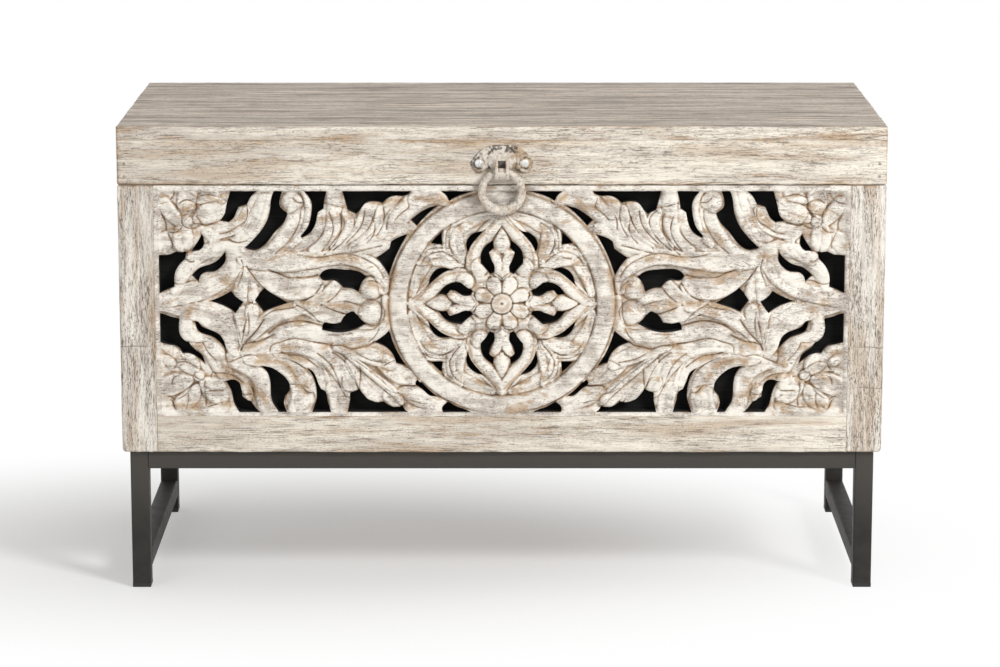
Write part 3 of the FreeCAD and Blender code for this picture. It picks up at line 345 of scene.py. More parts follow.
# Medallion, for one quarter, copied to all four quarters and across the diagonals
MEDALLION_LEAVES = [
    (-0.8, 0.35, [(108, 0, 5), (98, 5, 8), (88, 13, 10), (79, 22, 9), (70, 29, 9), (60, 33, 9), (48, 34, 9)]),
    (-2.0, 0.8, [(106, 12, 5), (104, 26, 9), (98, 40, 11), (90, 52, 10)]),
    (-1.4, 0.7, [(96, 52, 7), (82, 54, 9), (68, 52, 9), (54, 46, 7)]),
    (-2.2, 0.5, [(70, 70, 9), (60, 60, 9), (50, 50, 9)]),
    (-1.2, 0.4, [(86, 0, 3), (76, 1, 7), (66, 2, 8)]),
    (-0.8, 0.6, [(61, 11, 4), (52, 6, 6), (40, 4, 7), (33, 2, 6)]),
    (-1.6, 0.7, [(62, 90, 7), (62, 78, 8), (64, 66, 7)]),
]
MEDALLION_CREASES = [
    [(113, 1), (100, 9), (87, 21)], [(92, 0), (81, 7), (75, 10)], [(60, 41), (52, 43), (44, 43)],
    [(96, 46), (90, 55), (82, 60), (69, 62)], [(69, 62), (62, 58), (52, 50)],
    [(66, 64), (66, 79), (62, 89), (57, 91)], [(65, 12), (63, 6), (58, 0)], [(38, 12), (34, 5), (30, 0)],
]
MEDALLION_FLUTES = [[(104, 22), (102, 36), (96, 48)], [(84, 52), (74, 54), (64, 52)], [(54, 0), (40, 0)]]
MEDALLION_WORN = [[(97, 22), (92, 32)], [(84, 47), (92, 50)], [(66, 8), (60, 12)]]
MEDALLION_EDGES = [[(102, 3), (88, 17), (76, 28), (64, 35), (46, 38)]]
MEDALLION_KNOBS = [(-0.2, 43, 26, 11)]


# Curves and distances on the flat of the carving
def bell(away, width):
    """1 at no distance, fading out over a width."""
    return np.exp(-(away / width) ** 2)


def unit(value):
    """A value held between 0 and 1."""
    return np.clip(value, 0, 1)


def smooth_line(points, pitch=1.5):
    """Points along a natural cubic spline through the given points, spaced by chord length."""
    p = np.asarray(points, float)
    t = np.concatenate([[0.0], np.cumsum(np.linalg.norm(np.diff(p, axis=0), axis=1))])
    u = np.linspace(0.0, t[-1], max(2, int(t[-1] / pitch) + 1))
    count = len(p)
    if count == 2:
        return p[0] + (p[1] - p[0]) * (u / t[-1])[:, None]
    h = np.diff(t)
    system = np.eye(count)
    right = np.zeros(p.shape)
    for i in range(1, count - 1):
        system[i, i - 1:i + 2] = h[i - 1], 2 * (h[i - 1] + h[i]), h[i]
        right[i] = 6 * ((p[i + 1] - p[i]) / h[i] - (p[i] - p[i - 1]) / h[i - 1])
    bend = np.linalg.solve(system, right)
    k = np.clip(np.searchsorted(t, u, side="right") - 1, 0, count - 2)
    a = ((t[k + 1] - u) / h[k])[:, None]
    b = ((u - t[k]) / h[k])[:, None]
    curve = (h[k] ** 2 / 6)[:, None]
    return a * p[k] + b * p[k + 1] + curve * ((a ** 3 - a) * bend[k] + (b ** 3 - b) * bend[k + 1])


def closed_outline(runs):
    """The outline of one piercing as a closed ring of points."""
    start = runs[0][0]
    stretches = [list(run) for run in runs[1:]]
    stretches[-1].append(start)
    ring = []
    here = start
    for run in stretches:
        ring.append(smooth_line([here] + run)[:-1])
        here = run[-1]
    return np.concatenate(ring)


def to_segments(x, z, line):
    """From each grid point to each segment of a line: the nearest place as a share of the segment's
    length, the squared distance, and the side that the point lies on."""
    start, step = line[:-1], np.diff(line, axis=0)
    length = np.maximum((step[:, :2] ** 2).sum(1), 1e-9)
    dx, dz = x[..., None] - start[:, 0], z[..., None] - start[:, 1]
    along = unit((dx * step[:, 0] + dz * step[:, 1]) / length)
    squared = (dx - along * step[:, 0]) ** 2 + (dz - along * step[:, 1]) ** 2
    return along, squared, np.sign(step[:, 0] * dz - step[:, 1] * dx)


def segment_distance(x, z, line):
    """Distance of each grid point to a line of points."""
    return np.sqrt(to_segments(x, z, line)[1].min(-1))


def inside_ring(x, z, ring):
    """True for the grid points inside a closed ring of points."""
    a, b = ring, np.roll(ring, -1, axis=0)
    above = (a[:, 1] > z[..., None]) != (b[:, 1] > z[..., None])
    rise = np.where(np.abs(b[:, 1] - a[:, 1]) < 1e-12, 1e-12, b[:, 1] - a[:, 1])
    cross = a[:, 0] + (z[..., None] - a[:, 1]) * (b[:, 0] - a[:, 0]) / rise
    return ((above & (x[..., None] < cross)).sum(-1) % 2) == 1


def soften(field, cells):
    """Gaussian blur of a grid by a number of cells."""
    reach = max(1, int(3 * cells))
    weights = np.exp(-0.5 * (np.arange(-reach, reach + 1) / cells) ** 2)
    weights /= weights.sum()
    blurred = np.pad(field, reach, mode="edge")
    for axis in (0, 1):
        blurred = np.apply_along_axis(np.convolve, axis, blurred, weights, mode="valid")
    return blurred


def quarter_copies(points):
    """One line of the medallion in the upper and lower quarter, and mirrored across the diagonal."""
    copies = []
    for sign in (1, -1):
        copies.append([(point[0], sign * point[1], *point[2:]) for point in points])
        copies.append([(point[1], sign * point[0], *point[2:]) for point in points])
    return copies


def all_quarters(lines):
    """Every line of the medallion in all its copies."""
    return [copy for points in lines for copy in quarter_copies(points)]


def spoke(angle, r):
    """The place at a distance from the medallion's middle."""
    return r * math.cos(angle), r * math.sin(angle)


def body_fall(share, hollow):
    """How far a leaf drops from its top, from its middle (0) over its edge (1) outwards."""
    rim = 0.76
    gouge = 0.46 * (1 - np.minimum(share / rim, 1) ** 2)
    edge = (np.maximum(share - rim, 0) / (1 - rim)) ** 1.4
    return (1 - hollow) * share ** 3.0 + hollow * (gouge + edge)


def leaf_depth(width):
    """How deep a leaf of some half width is modelled."""
    return 1.6 + 0.32 * width


class HalfCarving:
    """Signed distance to the piercings, relief height and finish of the carving's right half."""

    def __init__(self, step):
        out = np.arange(0, PANEL_HALF + 2 * step, step)
        up = np.arange(PANEL_LOW - MEDALLION_Z - 1.5 * step, BOX_TOP - MEDALLION_Z + 2 * step, step)
        self.out, self.up = np.meshgrid(out, up)
        self.radius = np.hypot(self.out, self.up)
        self.wood = np.full(self.out.shape, FAR)
        self.height = np.full(self.out.shape, GROUND_DEPTH)
        # line holds the dark marks in cuts and grooves, dirt and painted shade together; worn holds where the
        # wash is rubbed off
        self.groove, self.line, self.worn = np.zeros((3, *self.out.shape))

    def window(self, line, reach):
        """The part of the grid that a line can touch."""
        (left, low), (right, high) = line.min(0) - reach, line.max(0) + reach
        columns = (self.out[0] >= left) & (self.out[0] <= right)
        rows = (self.up[:, 0] >= low) & (self.up[:, 0] <= high)
        return np.ix_(rows, columns)

    def beside(self, points, reach):
        """The part of the grid near a smooth line, and how far its points are from the line."""
        line = smooth_line(points)
        spot = self.window(line, reach)
        return spot, segment_distance(self.out[spot], self.up[spot], line)

    def pierce(self, runs):
        """A hole right through the panel."""
        ring = closed_outline(runs)
        spot = self.window(ring, PIERCING_REACH)
        x, z = self.out[spot], self.up[spot]
        away = segment_distance(x, z, np.vstack([ring, ring[:1]]))
        signed = np.where(inside_ring(x, z, ring), -away, away)
        self.wood[spot] = np.minimum(self.wood[spot], signed)

    def leaf(self, top, hollow, points):
        """A leaf along its middle line, rounded or gouged hollow. Where leaves meet, the higher one shows."""
        line = smooth_line(points, 2.0)
        spot = self.window(line[:, :2], 2.2 * line[:, 2].max())
        along, squared, side = to_segments(self.out[spot], self.up[spot], line)
        width = np.maximum(line[:-1, 2] + along * np.diff(line[:, 2]), 2.0)
        share = np.sqrt(squared) / width
        nearest = share.argmin(-1)[..., None]
        share, width, side = (np.take_along_axis(each, nearest, -1)[..., 0] for each in (share, width, side))
        fall = body_fall(share, hollow) - 0.3 * side * np.minimum(share, 1.2)
        self.height[spot] = np.maximum(self.height[spot], top - leaf_depth(width) * fall)

    def bud(self, top, hollow, out, up, radius):
        """A round petal in the middle of a flower."""
        share = np.hypot(self.out - out, self.up - up) / radius
        self.height = np.maximum(self.height, top - leaf_depth(radius) * body_fall(share, hollow))

    def knob(self, top, out, up, radius):
        """A round knob with a groove about it, and painted shade in the groove."""
        share = np.hypot(self.out - out, self.up - up) / radius
        ball = top - 0.62 * radius * (1 - np.sqrt(unit(1 - share ** 2)))
        self.height = np.where(share < 1, np.maximum(self.height, ball), self.height)
        collar = bell((share - 1.05) * radius, 1.3)
        self.groove = np.minimum(self.groove, -1.6 * collar)
        self.line = np.maximum(self.line, 0.7 * collar)

    def crease(self, points, depth, flank, cut):
        """A cut between two leaves: soft flanks and a narrow dark line at its bottom, of dirt and painted
        shade.
        """
        spot, away = self.beside(points, 6 * flank)
        narrow = bell(away, 0.8)
        valley = -depth * np.exp(-away / flank) - cut * narrow
        self.groove[spot] = np.minimum(self.groove[spot], valley)
        self.line[spot] = np.maximum(self.line[spot], narrow * min(1.0, 0.25 * depth + 0.3))

    def flute(self, points, depth, width):
        """A soft gouge along the middle of a leaf."""
        spot, away = self.beside(points, 3 * width)
        self.groove[spot] = np.minimum(self.groove[spot], -depth * bell(away, width))

    def rub(self, points, width):
        """A stretch where the wash is rubbed off."""
        spot, away = self.beside(points, 3 * width)
        self.worn[spot] = np.maximum(self.worn[spot], bell(away, width))


def carve_rosette(half):
    """Eight scalloped petals round the medallion's button, over four broader leaves on the diagonals."""
    diagonal_leaf = ((22, 8), (31, 10), (39, 11))
    petal = ((12, 5), (20, 8), (26, 9))
    lobe_out, lobe_radius = 24.5, 9.5
    for turn in range(8):
        angle = math.radians(45 * turn)
        if turn % 2:
            half.leaf(-2.4, 0.3, [(*spoke(angle, r), wide) for r, wide in diagonal_leaf])
        half.crease([spoke(angle, r) for r in (13, 20, 27)], depth=0.9, flank=1.3, cut=0.8)
        angle += math.radians(22.5)
        half.leaf(-0.8, 0.4, [(*spoke(angle, r), wide) for r, wide in petal])
        lobe = np.array(spoke(angle, lobe_out))
        scallop = [lobe + spoke(angle + bend, lobe_radius) for bend in (-1.7, -0.85, 0, 0.85, 1.7)]
        half.crease(scallop, depth=1.7, flank=1.4, cut=1.0)


def raise_borders(half, relief):
    """Sets ring, plain strips and button among the leaves, and rounds the wood over at each piercing."""
    r = half.radius
    overlap, fade = 0.6, 1.8
    ring = unit((r - RING_INNER + overlap) / fade) * unit((RING_OUTER + overlap - r) / fade)
    strip = unit((half.out - FIELD_HALF + 9) / 12)
    strip = np.maximum(strip, unit((half.up - FIELD_TOP + 4) / 6))
    strip = np.maximum(strip, unit((FIELD_LOW + 8 - half.up) / 11))
    strip = strip * strip * (3 - 2 * strip)
    proud = np.maximum(ring, strip)
    crown = -0.3 - 1.3 * (np.abs(r - RING_MIDDLE) / RING_WIDTH * 2) ** 4 * ring
    height = (half.height + half.groove) * relief * (1 - proud) + crown * proud
    shoulder = np.exp(-np.maximum(half.wood, 0) / 2.0)
    height -= relief * shoulder * (3.2 - 1.8 * proud)
    height -= relief * 1.5 * (bell(r - RING_INNER + 1, 1.2) + 0.6 * bell(r - RING_OUTER - 1, 1.2))
    button = -0.3 + 0.6 * np.sqrt(unit(1 - (r / BUTTON_RADIUS) ** 2)) - 4.0 * bell(r, 1.8)
    half.height = np.where(r < BUTTON_RADIUS, button, height - 1.6 * bell(r - BUTTON_GROOVE, 1.2))
    half.worn = np.maximum(half.worn, 0.8 * bell(r - 7, 3))
    # Dark lines of dirt and painted shade: in the groove round the button, in its middle and along the ring's
    # edges
    ring_edges = 0.8 * bell(r - RING_INNER, 0.8) + 0.5 * bell(r - RING_OUTER, 0.8)
    for mark in (0.8 * bell(r - BUTTON_GROOVE, 1.0), bell(r, 2.0), ring_edges):
        half.line = np.maximum(half.line, mark)


def carve_half(step, relief):
    """Cuts every piercing and stroke of the carving's right half and returns its grid."""
    half = HalfCarving(step)
    for runs in LEAF_HOLES.values():
        half.pierce(runs)
    for runs in MEDALLION_HOLES.values():
        for copy in zip(*(quarter_copies(run) for run in runs)):
            half.pierce(copy)
    for leaf in LEAVES:
        half.leaf(*leaf)
    for top, hollow, points in MEDALLION_LEAVES:
        for copy in quarter_copies(points):
            half.leaf(top, hollow, copy)
    for bud in FLOWER_BUDS:
        half.bud(*bud)
    for knob in KNOBS:
        half.knob(*knob)
    for top, out, up, radius in MEDALLION_KNOBS:
        for copy in quarter_copies([(out, up)]):
            half.knob(top, *copy[0], radius)
    carve_rosette(half)
    strokes = [
        (half.crease, DEEP_CREASES, {"depth": 3.4, "flank": 3.2, "cut": 1.4}),
        (half.crease, CREASES, {"depth": 1.3, "flank": 1.5, "cut": 1.0}),
        (half.crease, all_quarters(MEDALLION_CREASES), {"depth": 1.2, "flank": 1.8, "cut": 0.9}),
        (half.flute, FLUTES + all_quarters(MEDALLION_FLUTES), {"depth": 0.7, "width": 1.5}),
        (half.rub, WORN_BANDS, {"width": 4.0}),
        (half.rub, all_quarters(MEDALLION_WORN), {"width": 3.0}),
        (half.rub, all_quarters(MEDALLION_EDGES), {"width": 1.7}),
    ]
    for stroke, lines, sizes in strokes:
        for points in lines:
            stroke(points, **sizes)
    raise_borders(half, relief)
    return half


# Closed meshes from grids
def solid_cells(wood):
    """Faces over the part of a grid where wood is above zero.

    Returns the faces, the two grid points that each rim point lies between, and for each rim point the
    next one along the rim. Rim points are numbered on from the grid points."""
    number = np.arange(wood.size).reshape(wood.shape)
    corners = np.stack([number[:-1, :-1], number[:-1, 1:], number[1:, 1:], number[1:, :-1]], -1)
    filled = (wood.ravel() > 0)[corners]
    whole = filled.all(-1)
    cut = filled.any(-1) & ~whole
    faces = corners[whole].tolist()
    crossings, follow = {}, {}

    def crossing(p, q):
        return crossings.setdefault((min(p, q), max(p, q)), wood.size + len(crossings))

    for corner, solid in zip(corners[cut].tolist(), filled[cut].tolist()):
        if sum(solid) == 2 and solid[0] == solid[2]:
            for k in (k for k in range(4) if solid[k]):
                leave = crossing(corner[k], corner[(k + 1) % 4])
                enter = crossing(corner[k], corner[k - 1])
                faces.append([corner[k], leave, enter])
                follow[leave] = enter
            continue
        polygon = []
        for k in range(4):
            after = (k + 1) % 4
            if solid[k]:
                polygon.append(corner[k])
            if solid[k] != solid[after]:
                point = crossing(corner[k], corner[after])
                polygon.append(point)
                if solid[k]:
                    leave = point
                else:
                    enter = point
        faces.append(polygon)
        follow[leave] = enter
    return faces, np.array(list(crossings)), follow


def back_faces(points, follow, shift):
    """Triangles that close a relief's back inside its rim, turned away from its front."""
    loops = []
    left = set(follow)
    while left:
        loop = [left.pop()]
        while follow[loop[-1]] != loop[0]:
            loop.append(follow[loop[-1]])
            left.discard(loop[-1])
        loops.append(loop)
    flat = [[Vector((points[n][0], points[n][2], 0)) for n in loop] for loop in loops]
    order = [n + shift for loop in loops for n in loop]
    faces = []
    for triangle in tessellate_polygon(flat):
        p, q, s = (order[n] for n in triangle)
        area = (points[q][0] - points[p][0]) * (points[s][2] - points[p][2])
        area -= (points[s][0] - points[p][0]) * (points[q][2] - points[p][2])
        faces.append([p, s, q] if area > 0 else [p, q, s])
    return faces


def relief_mesh(x, z, wood, height, back, levels):
    """Closed board: its front follows height over the grid, and it ends where wood is not above zero.

    Returns points, faces and the levels of each point, with one more level, deep, that grows down the
    walls. Everything is in millimetres."""
    faces, ends, follow = solid_cells(wood)
    grid_x, grid_z = np.meshgrid(x, z)
    front = np.stack([grid_x, FRONT_Y - height, grid_z], -1).reshape(-1, 3)
    one, two = ends.T
    value = wood.ravel()
    share = unit(value[one] / (value[one] - value[two]))

    def at_rim(field):
        """A field of the grid at the rim points."""
        return (field[one].T * (1 - share) + field[two].T * share).T

    rim = at_rim(front)
    count = len(rim)
    lip, foot = rim.copy(), rim.copy()
    lip[:, 1] = np.minimum(rim[:, 1] + 2.5, back - 0.5)
    foot[:, 1] = back
    points = np.vstack([front, rim, lip, foot])
    for p, q in follow.items():
        for top in (0, count):
            low = top + count
            faces.append([q + top, p + top, p + low, q + low])
    faces += back_faces(points, follow, 2 * count)
    used = np.unique(list(itertools.chain.from_iterable(faces)))
    place = np.full(len(points), -1)
    place[used] = np.arange(len(used))
    faces = [place[face].tolist() for face in faces]
    spread = {}
    for label, level in levels.items():
        edge = at_rim(level.ravel())
        spread[label] = np.concatenate([level.ravel(), edge, edge, edge])[used]
    spread["deep"] = np.repeat([0.0, 0.6, 1.0], [len(front) + count, count, count])[used]
    return points[used], faces, spread


def ripple(position, generator, waves=5, low=0.01, high=0.12):
    """Uneven but repeatable swing between about -1 and 1 along a length in millimetres."""
    total = np.zeros_like(position)
    for pitch, phase in zip(generator.uniform(low, high, waves), generator.uniform(0, 2 * math.pi, waves)):
        total += np.sin(position * pitch * 2 * math.pi + phase)
    return total / math.sqrt(waves)


def edge_cuts(low, high, worn, step):
    """Places of the cuts across a board: close together at both edges, even between them."""
    near = np.array([0.0, 0.3, 0.62, 1.0, 1.6]) * worn
    near = near[near < (high - low) / 2 - 0.2]
    inner_low, inner_high = low + near[-1], high - near[-1]
    count = max(1, int(round((inner_high - inner_low) / step)))
    middle = np.linspace(inner_low, inner_high, count + 1)[1:-1]
    return np.concatenate([low + near, middle, (high - near)[::-1]])


def box_grid(cuts):
    """Places and outward quads of a box's six sides, divided at the cuts along each axis."""
    size = [len(places) for places in cuts]
    faces = []
    for axis in range(3):
        u, v = (axis + 1) % 3, (axis + 2) % 3
        for end in (0, size[axis] - 1):
            grid = np.zeros((3, size[u], size[v]), int)
            grid[axis] = end
            grid[u] = np.arange(size[u])[:, None]
            grid[v] = np.arange(size[v])
            key = np.ravel_multi_index(tuple(grid), size)
            quads = np.stack([key[:-1, :-1], key[1:, :-1], key[1:, 1:], key[:-1, 1:]], -1).reshape(-1, 4)
            faces.append(quads if end else quads[:, ::-1])
    keys, faces = np.unique(np.concatenate(faces), return_inverse=True)
    index = np.unravel_index(keys, size)
    places = np.stack([cut[n] for cut, n in zip(cuts, index)], 1)
    return places, faces.reshape(-1, 4).tolist()


def open_cracks(points, flat, cracks, front_y, generator):
    """Sinks wavy cracks into a stile's front, fading out at its inner edge, and returns where they show."""
    shown = np.zeros(len(flat))
    fade = unit((np.abs(flat[:, 0]) - PANEL_HALF - 4) / 12)
    front = flat[:, 1] < front_y + 0.01
    for crack, depth in cracks:
        near = np.abs(flat[:, 2] - crack)
        points[:, 2] += np.where(near < 1, 0.7 * ripple(flat[:, 0], generator, 4, 0.02, 0.07), 0) * fade
        open_line = (near < 0.5) & front
        points[:, 1] += np.where(open_line, depth, 0) * fade
        shown = np.maximum(shown, np.where(open_line, 0.65 * fade, 0))
    return shown


def board_mesh(low, high, along, seed, worn, joint, open_faces,
               step=9.0, cracks=(), corner=0.0, tones=(0, 0)):
    """A closed board whose open edges are worn round and uneven, and whose jointed edges stay tight.

    open_faces names the sides in view: x- x+ y- y+ z- z+. Cracks are (place along z, depth).
    corner rounds the lower edge that runs front to back more than the rest. tones darken the wash at the
    grain's low and high end."""
    low, high = np.asarray(low, float), np.asarray(high, float)
    generator = np.random.default_rng(seed)
    cuts = []
    for axis in range(3):
        pitch = step if axis == along else step * 0.75
        cuts.append(edge_cuts(low[axis], high[axis], worn * 1.5, pitch))
    crack_cuts = [crack + beside for crack, _ in cracks for beside in (-0.9, -0.35, 0.35, 0.9)]
    cuts[2] = np.concatenate([cuts[2], crack_cuts])
    flat, faces = box_grid([np.unique(np.round(places, 4)) for places in cuts])
    middle, half = (low + high) / 2, (high - low) / 2
    points = flat.copy()
    edge, seam = np.full((2, len(flat)), FAR)
    for (a, b), side_a, side_b in itertools.product(((0, 1), (1, 2), (2, 0)), (-1, 1), (-1, 1)):
        shown = all("xyz"[n] + ("+" if s > 0 else "-") in open_faces for n, s in ((a, side_a), (b, side_b)))
        place = flat[:, 3 - a - b]
        swing = 1 + 0.45 * ripple(place, generator) + 0.25 * ripple(place, generator, 4, 0.003, 0.01)
        radius = np.clip(worn * swing, 0.35 * worn, 1.5 * worn) if shown else np.full(len(flat), joint)
        if shown and corner and (a, b, side_a) == (2, 0, -1):
            radius = np.maximum(radius, corner)
        radius = np.minimum(radius, min(half[a], half[b]) * 0.9)
        reach_a = side_a * (points[:, a] - middle[a]) - (half[a] - radius)
        reach_b = side_b * (points[:, b] - middle[b]) - (half[b] - radius)
        both = (reach_a > 0) & (reach_b > 0)
        fold = np.maximum(reach_a, reach_b) / np.maximum(np.hypot(reach_a, reach_b), 1e-9)
        for axis, side, reach in ((a, side_a, reach_a), (b, side_b, reach_b)):
            moved = middle[axis] + side * (half[axis] - radius + reach * fold)
            points[both, axis] = moved[both]
        away = np.hypot(*(half[n] - s * (flat[:, n] - middle[n]) for n, s in ((a, side_a), (b, side_b))))
        nearest = edge if shown else seam
        np.minimum(nearest, away, out=nearest)
    crack_line = open_cracks(points, flat, cracks, low[1], generator)
    grain_first = [along] + [axis for axis in range(3) if axis != along]
    shades = {
        "grain": flat[:, grain_first] * MM + generator.uniform(-40, 40, 3),
        "edge": edge,
        "seam": seam,
        "crack": crack_line,
        "top": unit(1 - (high[2] - points[:, 2]) / 1.5),
        "tone": np.interp(flat[:, along], (low[along], high[along]), tones),
    }
    return points, faces, shades


# Making and placing pieces
def shade(mesh, degrees):
    """Smooth shading that breaks at edges sharper than the given angle."""
    mesh.polygons.foreach_set("use_smooth", [True] * len(mesh.polygons))
    mesh.set_sharp_from_angle(angle=math.radians(degrees))


def settle(piece, body, nodes):
    """Sets a piece to ride on its body and hides the CAD nodes that it stands for."""
    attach(piece, body)
    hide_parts(*nodes)


def put_in_scene(name, data):
    """A new object in the scene that shows some data."""
    made = bpy.data.objects.new(name, data)
    bpy.context.scene.collection.objects.link(made)
    return made


def new_piece(name, points, faces, material, body, slot, nodes, sharp=40.0, **shades):
    """A mesh piece from points in millimetres, riding on a body and standing for CAD nodes."""
    mesh = bpy.data.meshes.new(name)
    mesh.from_pydata((np.asarray(points) * MM).tolist(), [], faces)
    mesh.update()
    for label, values in shades.items():
        values = np.asarray(values, np.float32)
        kind, key = ("FLOAT_VECTOR", "vector") if values.ndim == 2 else ("FLOAT", "value")
        mesh.attributes.new(label, kind, "POINT").data.foreach_set(key, values.ravel())
    shade(mesh, sharp)
    mesh.materials.append(material)
    settle(put_in_scene(name, mesh), body, nodes)


def finish_node(name, material):
    """Gives a CAD node that stays in view its own finish."""
    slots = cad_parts[name].data.materials
    slots.clear()
    slots.append(material)


# Node trees and finishes
class NodeTree:
    """A node tree and the steps that fill it."""

    def __init__(self, tree):
        self.tree = tree

    def put(self, socket, value):
        """Links a socket to a socket, or sets its value."""
        if isinstance(value, bpy.types.NodeSocket):
            self.tree.links.new(value, socket)
        else:
            socket.default_value = value

    def node(self, kind, inputs=None, **settings):
        """A node with its settings, and with its inputs linked or set."""
        made = self.tree.nodes.new(kind)
        for key, value in settings.items():
            setattr(made, key, value)
        for key, value in (inputs or {}).items():
            self.put(made.inputs[key], value)
        return made

    def combine(self, operation, first, second):
        """One number from two."""
        return self.node("ShaderNodeMath", {0: first, 1: second}, operation=operation).outputs[0]

    def times(self, level, weight):
        return self.combine("MULTIPLY", level, weight)

    def most(self, first, second):
        return self.combine("MAXIMUM", first, second)

    def total(self, *parts):
        """Sum of levels, each of them plain or a pair of level and weight."""
        levels = [self.times(*part) if isinstance(part, tuple) else part for part in parts]
        made = levels[0]
        for level in levels[1:]:
            made = self.combine("ADD", made, level)
        return made

    def in_sight(self):
        """1 for rays that come from the camera, from a reflection or through something clear."""
        path = self.node("ShaderNodeLightPath").outputs
        return self.most(self.most(path["Is Camera Ray"], path["Is Glossy Ray"]), path["Is Transmission Ray"])


class Finish(NodeTree):
    """A material and the small steps that its node tree is made of."""

    def __init__(self, name):
        self.material = bpy.data.materials.new(name)
        self.material.use_nodes = True
        super().__init__(self.material.node_tree)
        self.shader = self.tree.nodes["Principled BSDF"]

    def place(self):
        """The piece's own coordinates."""
        return self.node("ShaderNodeTexCoord").outputs["Object"]

    def grain(self):
        """A board's coordinates, with the first one along its grain."""
        return self.node("ShaderNodeAttribute", attribute_name="grain").outputs["Vector"]

    def level(self, attribute):
        """One number that the mesh carries."""
        return self.node("ShaderNodeAttribute", attribute_name=attribute).outputs["Fac"]

    def noise(self, vector, scale, detail=3.0, rough=0.55, distortion=0.0):
        """Noise at one scale for all axes, or drawn out by a scale for each."""
        if isinstance(scale, tuple):
            vector = self.node("ShaderNodeMapping", {"Vector": vector, "Scale": scale}).outputs["Vector"]
            scale = 1.0
        return self.node("ShaderNodeTexNoise", {
            "Vector": vector, "Scale": scale, "Detail": detail, "Roughness": rough,
            "Distortion": distortion}).outputs["Fac"]

    def ramp(self, value, start, end, low=0.0, high=1.0):
        """A smooth step from low to high."""
        return self.node("ShaderNodeMapRange", {
            "Value": value, "From Min": start, "From Max": end, "To Min": low, "To Max": high},
            interpolation_type="SMOOTHSTEP").outputs["Result"]

    def blend(self, share, first, second):
        """A colour between two."""
        return self.node("ShaderNodeMix", {0: share, 6: first, 7: second}, data_type="RGBA").outputs[2]

    def bump(self, height, strength, distance):
        """Small relief that only the shading shows."""
        made = self.node("ShaderNodeBump", {"Height": height, "Strength": strength, "Distance": distance})
        self.put(self.shader.inputs["Normal"], made.outputs["Normal"])

    def done(self, colour, roughness, **constants):
        """Sets the shader, constants being named like its sockets, and returns the material."""
        self.put(self.shader.inputs["Base Color"], colour)
        self.put(self.shader.inputs["Roughness"], roughness)
        for key, value in constants.items():
            self.shader.inputs[key.replace("_", " ")].default_value = value
        return self.material


def tinted(colour, share):
    """A colour made darker or lighter."""
    return [min(1.0, share * channel) for channel in colour[:3]] + [1.0]


def greyed_face(f, rubs, top_colour, bare):
    """The lid top's darker, greyer colour: long bands, rings of the grain, dark flecks and rubbed patches."""
    grain = f.grain()
    field = f.noise(grain, (1.9, 13, 13), 2.0, 0.5)
    rings = f.combine("PINGPONG", f.times(field, 21.0), 1.0)
    bands = f.noise(grain, (2.2, 85, 85), 3.0, 0.6)
    flecks = f.noise(grain, (9, 170, 170), 4.0, 0.7)
    deep, pale = tinted(top_colour, 0.3), tinted(top_colour, 1.75)
    face = f.blend(f.ramp(bands, 0.34, 0.7, 0.1, 0.6), pale, deep)
    ring_lines = f.times(f.ramp(rings, 0.55, 1.0), f.ramp(bands, 0.35, 0.6, 0.2, 0.5))
    face = f.blend(ring_lines, face, deep)
    face = f.blend(f.ramp(flecks, 0.5, 0.62, 0.0, 0.85), face, deep)
    return f.blend(f.ramp(rubs, 0.58, 0.7, 0.0, 0.3), face, bare)


def whitewashed_boards(name, coat, colours, grit, smears, strands, edge_wear, seam_shade, top_colour=None):
    """Brushed whitewash on open-grained boards: grey streaks, rubbed patches, fine grain and dark pores."""
    f = Finish(name)
    bare, grain = colours.bare_wood, f.grain()
    broad = f.noise(grain, (4, 32, 32), 4.0, 0.62)
    streaks = f.noise(grain, (8, 130, 130), 4.0, 0.62, 0.2)
    fibre = f.noise(grain, (strands, 820, 820), 5.0, 0.7)
    pores = f.noise(grain, (280, 900, 900), 5.0, 0.7)
    rubs = f.noise(grain, (11, 72, 72), 5.0, 0.7)
    thin_bands = f.noise(grain, (5, 58, 58), 4.0, 0.62, 0.4)
    tone = f.total((streaks, 0.4), (broad, 0.35), (rubs, 0.25), f.level("tone"))
    wash = f.blend(f.ramp(tone, 0.41, 0.62, 0.0, smears), coat, colours.smudge)
    wash = f.blend(f.ramp(thin_bands, 0.49, 0.66, 0.0, 0.45), wash, bare)
    worn_edge = f.ramp(f.level("edge"), 4.5, 0.0, 0.0, edge_wear)
    worn_seam = f.ramp(f.level("seam"), 7.0, 0.0, 0.0, 0.16 * seam_shade)
    worn = f.total((rubs, 0.6), (broad, 0.4), worn_edge, worn_seam)
    wash = f.blend(f.ramp(worn, 0.56 - 0.03 * grit, 0.66, 0.0, 0.8), wash, bare)
    lines = f.most(f.ramp(fibre, 0.49, 0.63), f.ramp(pores, 0.52, 0.64))
    lines = f.times(lines, f.ramp(rubs, 0.36, 0.58, 0.35 * grit, grit))
    dark = f.most(lines, f.ramp(f.level("seam"), 0.9, 0.0, 0.0, seam_shade))
    dark = f.most(dark, f.level("crack"))
    if top_colour:
        wash = f.blend(f.times(f.level("top"), 0.88), wash, greyed_face(f, rubs, top_colour, bare))
    wash = f.blend(dark, wash, colours.grime_and_shade)
    f.bump(f.combine("SUBTRACT", f.times(streaks, 0.5), dark), strength=0.3, distance=0.0005)
    return f.done(wash, f.ramp(streaks, 0.3, 0.7, 0.62, 0.8))


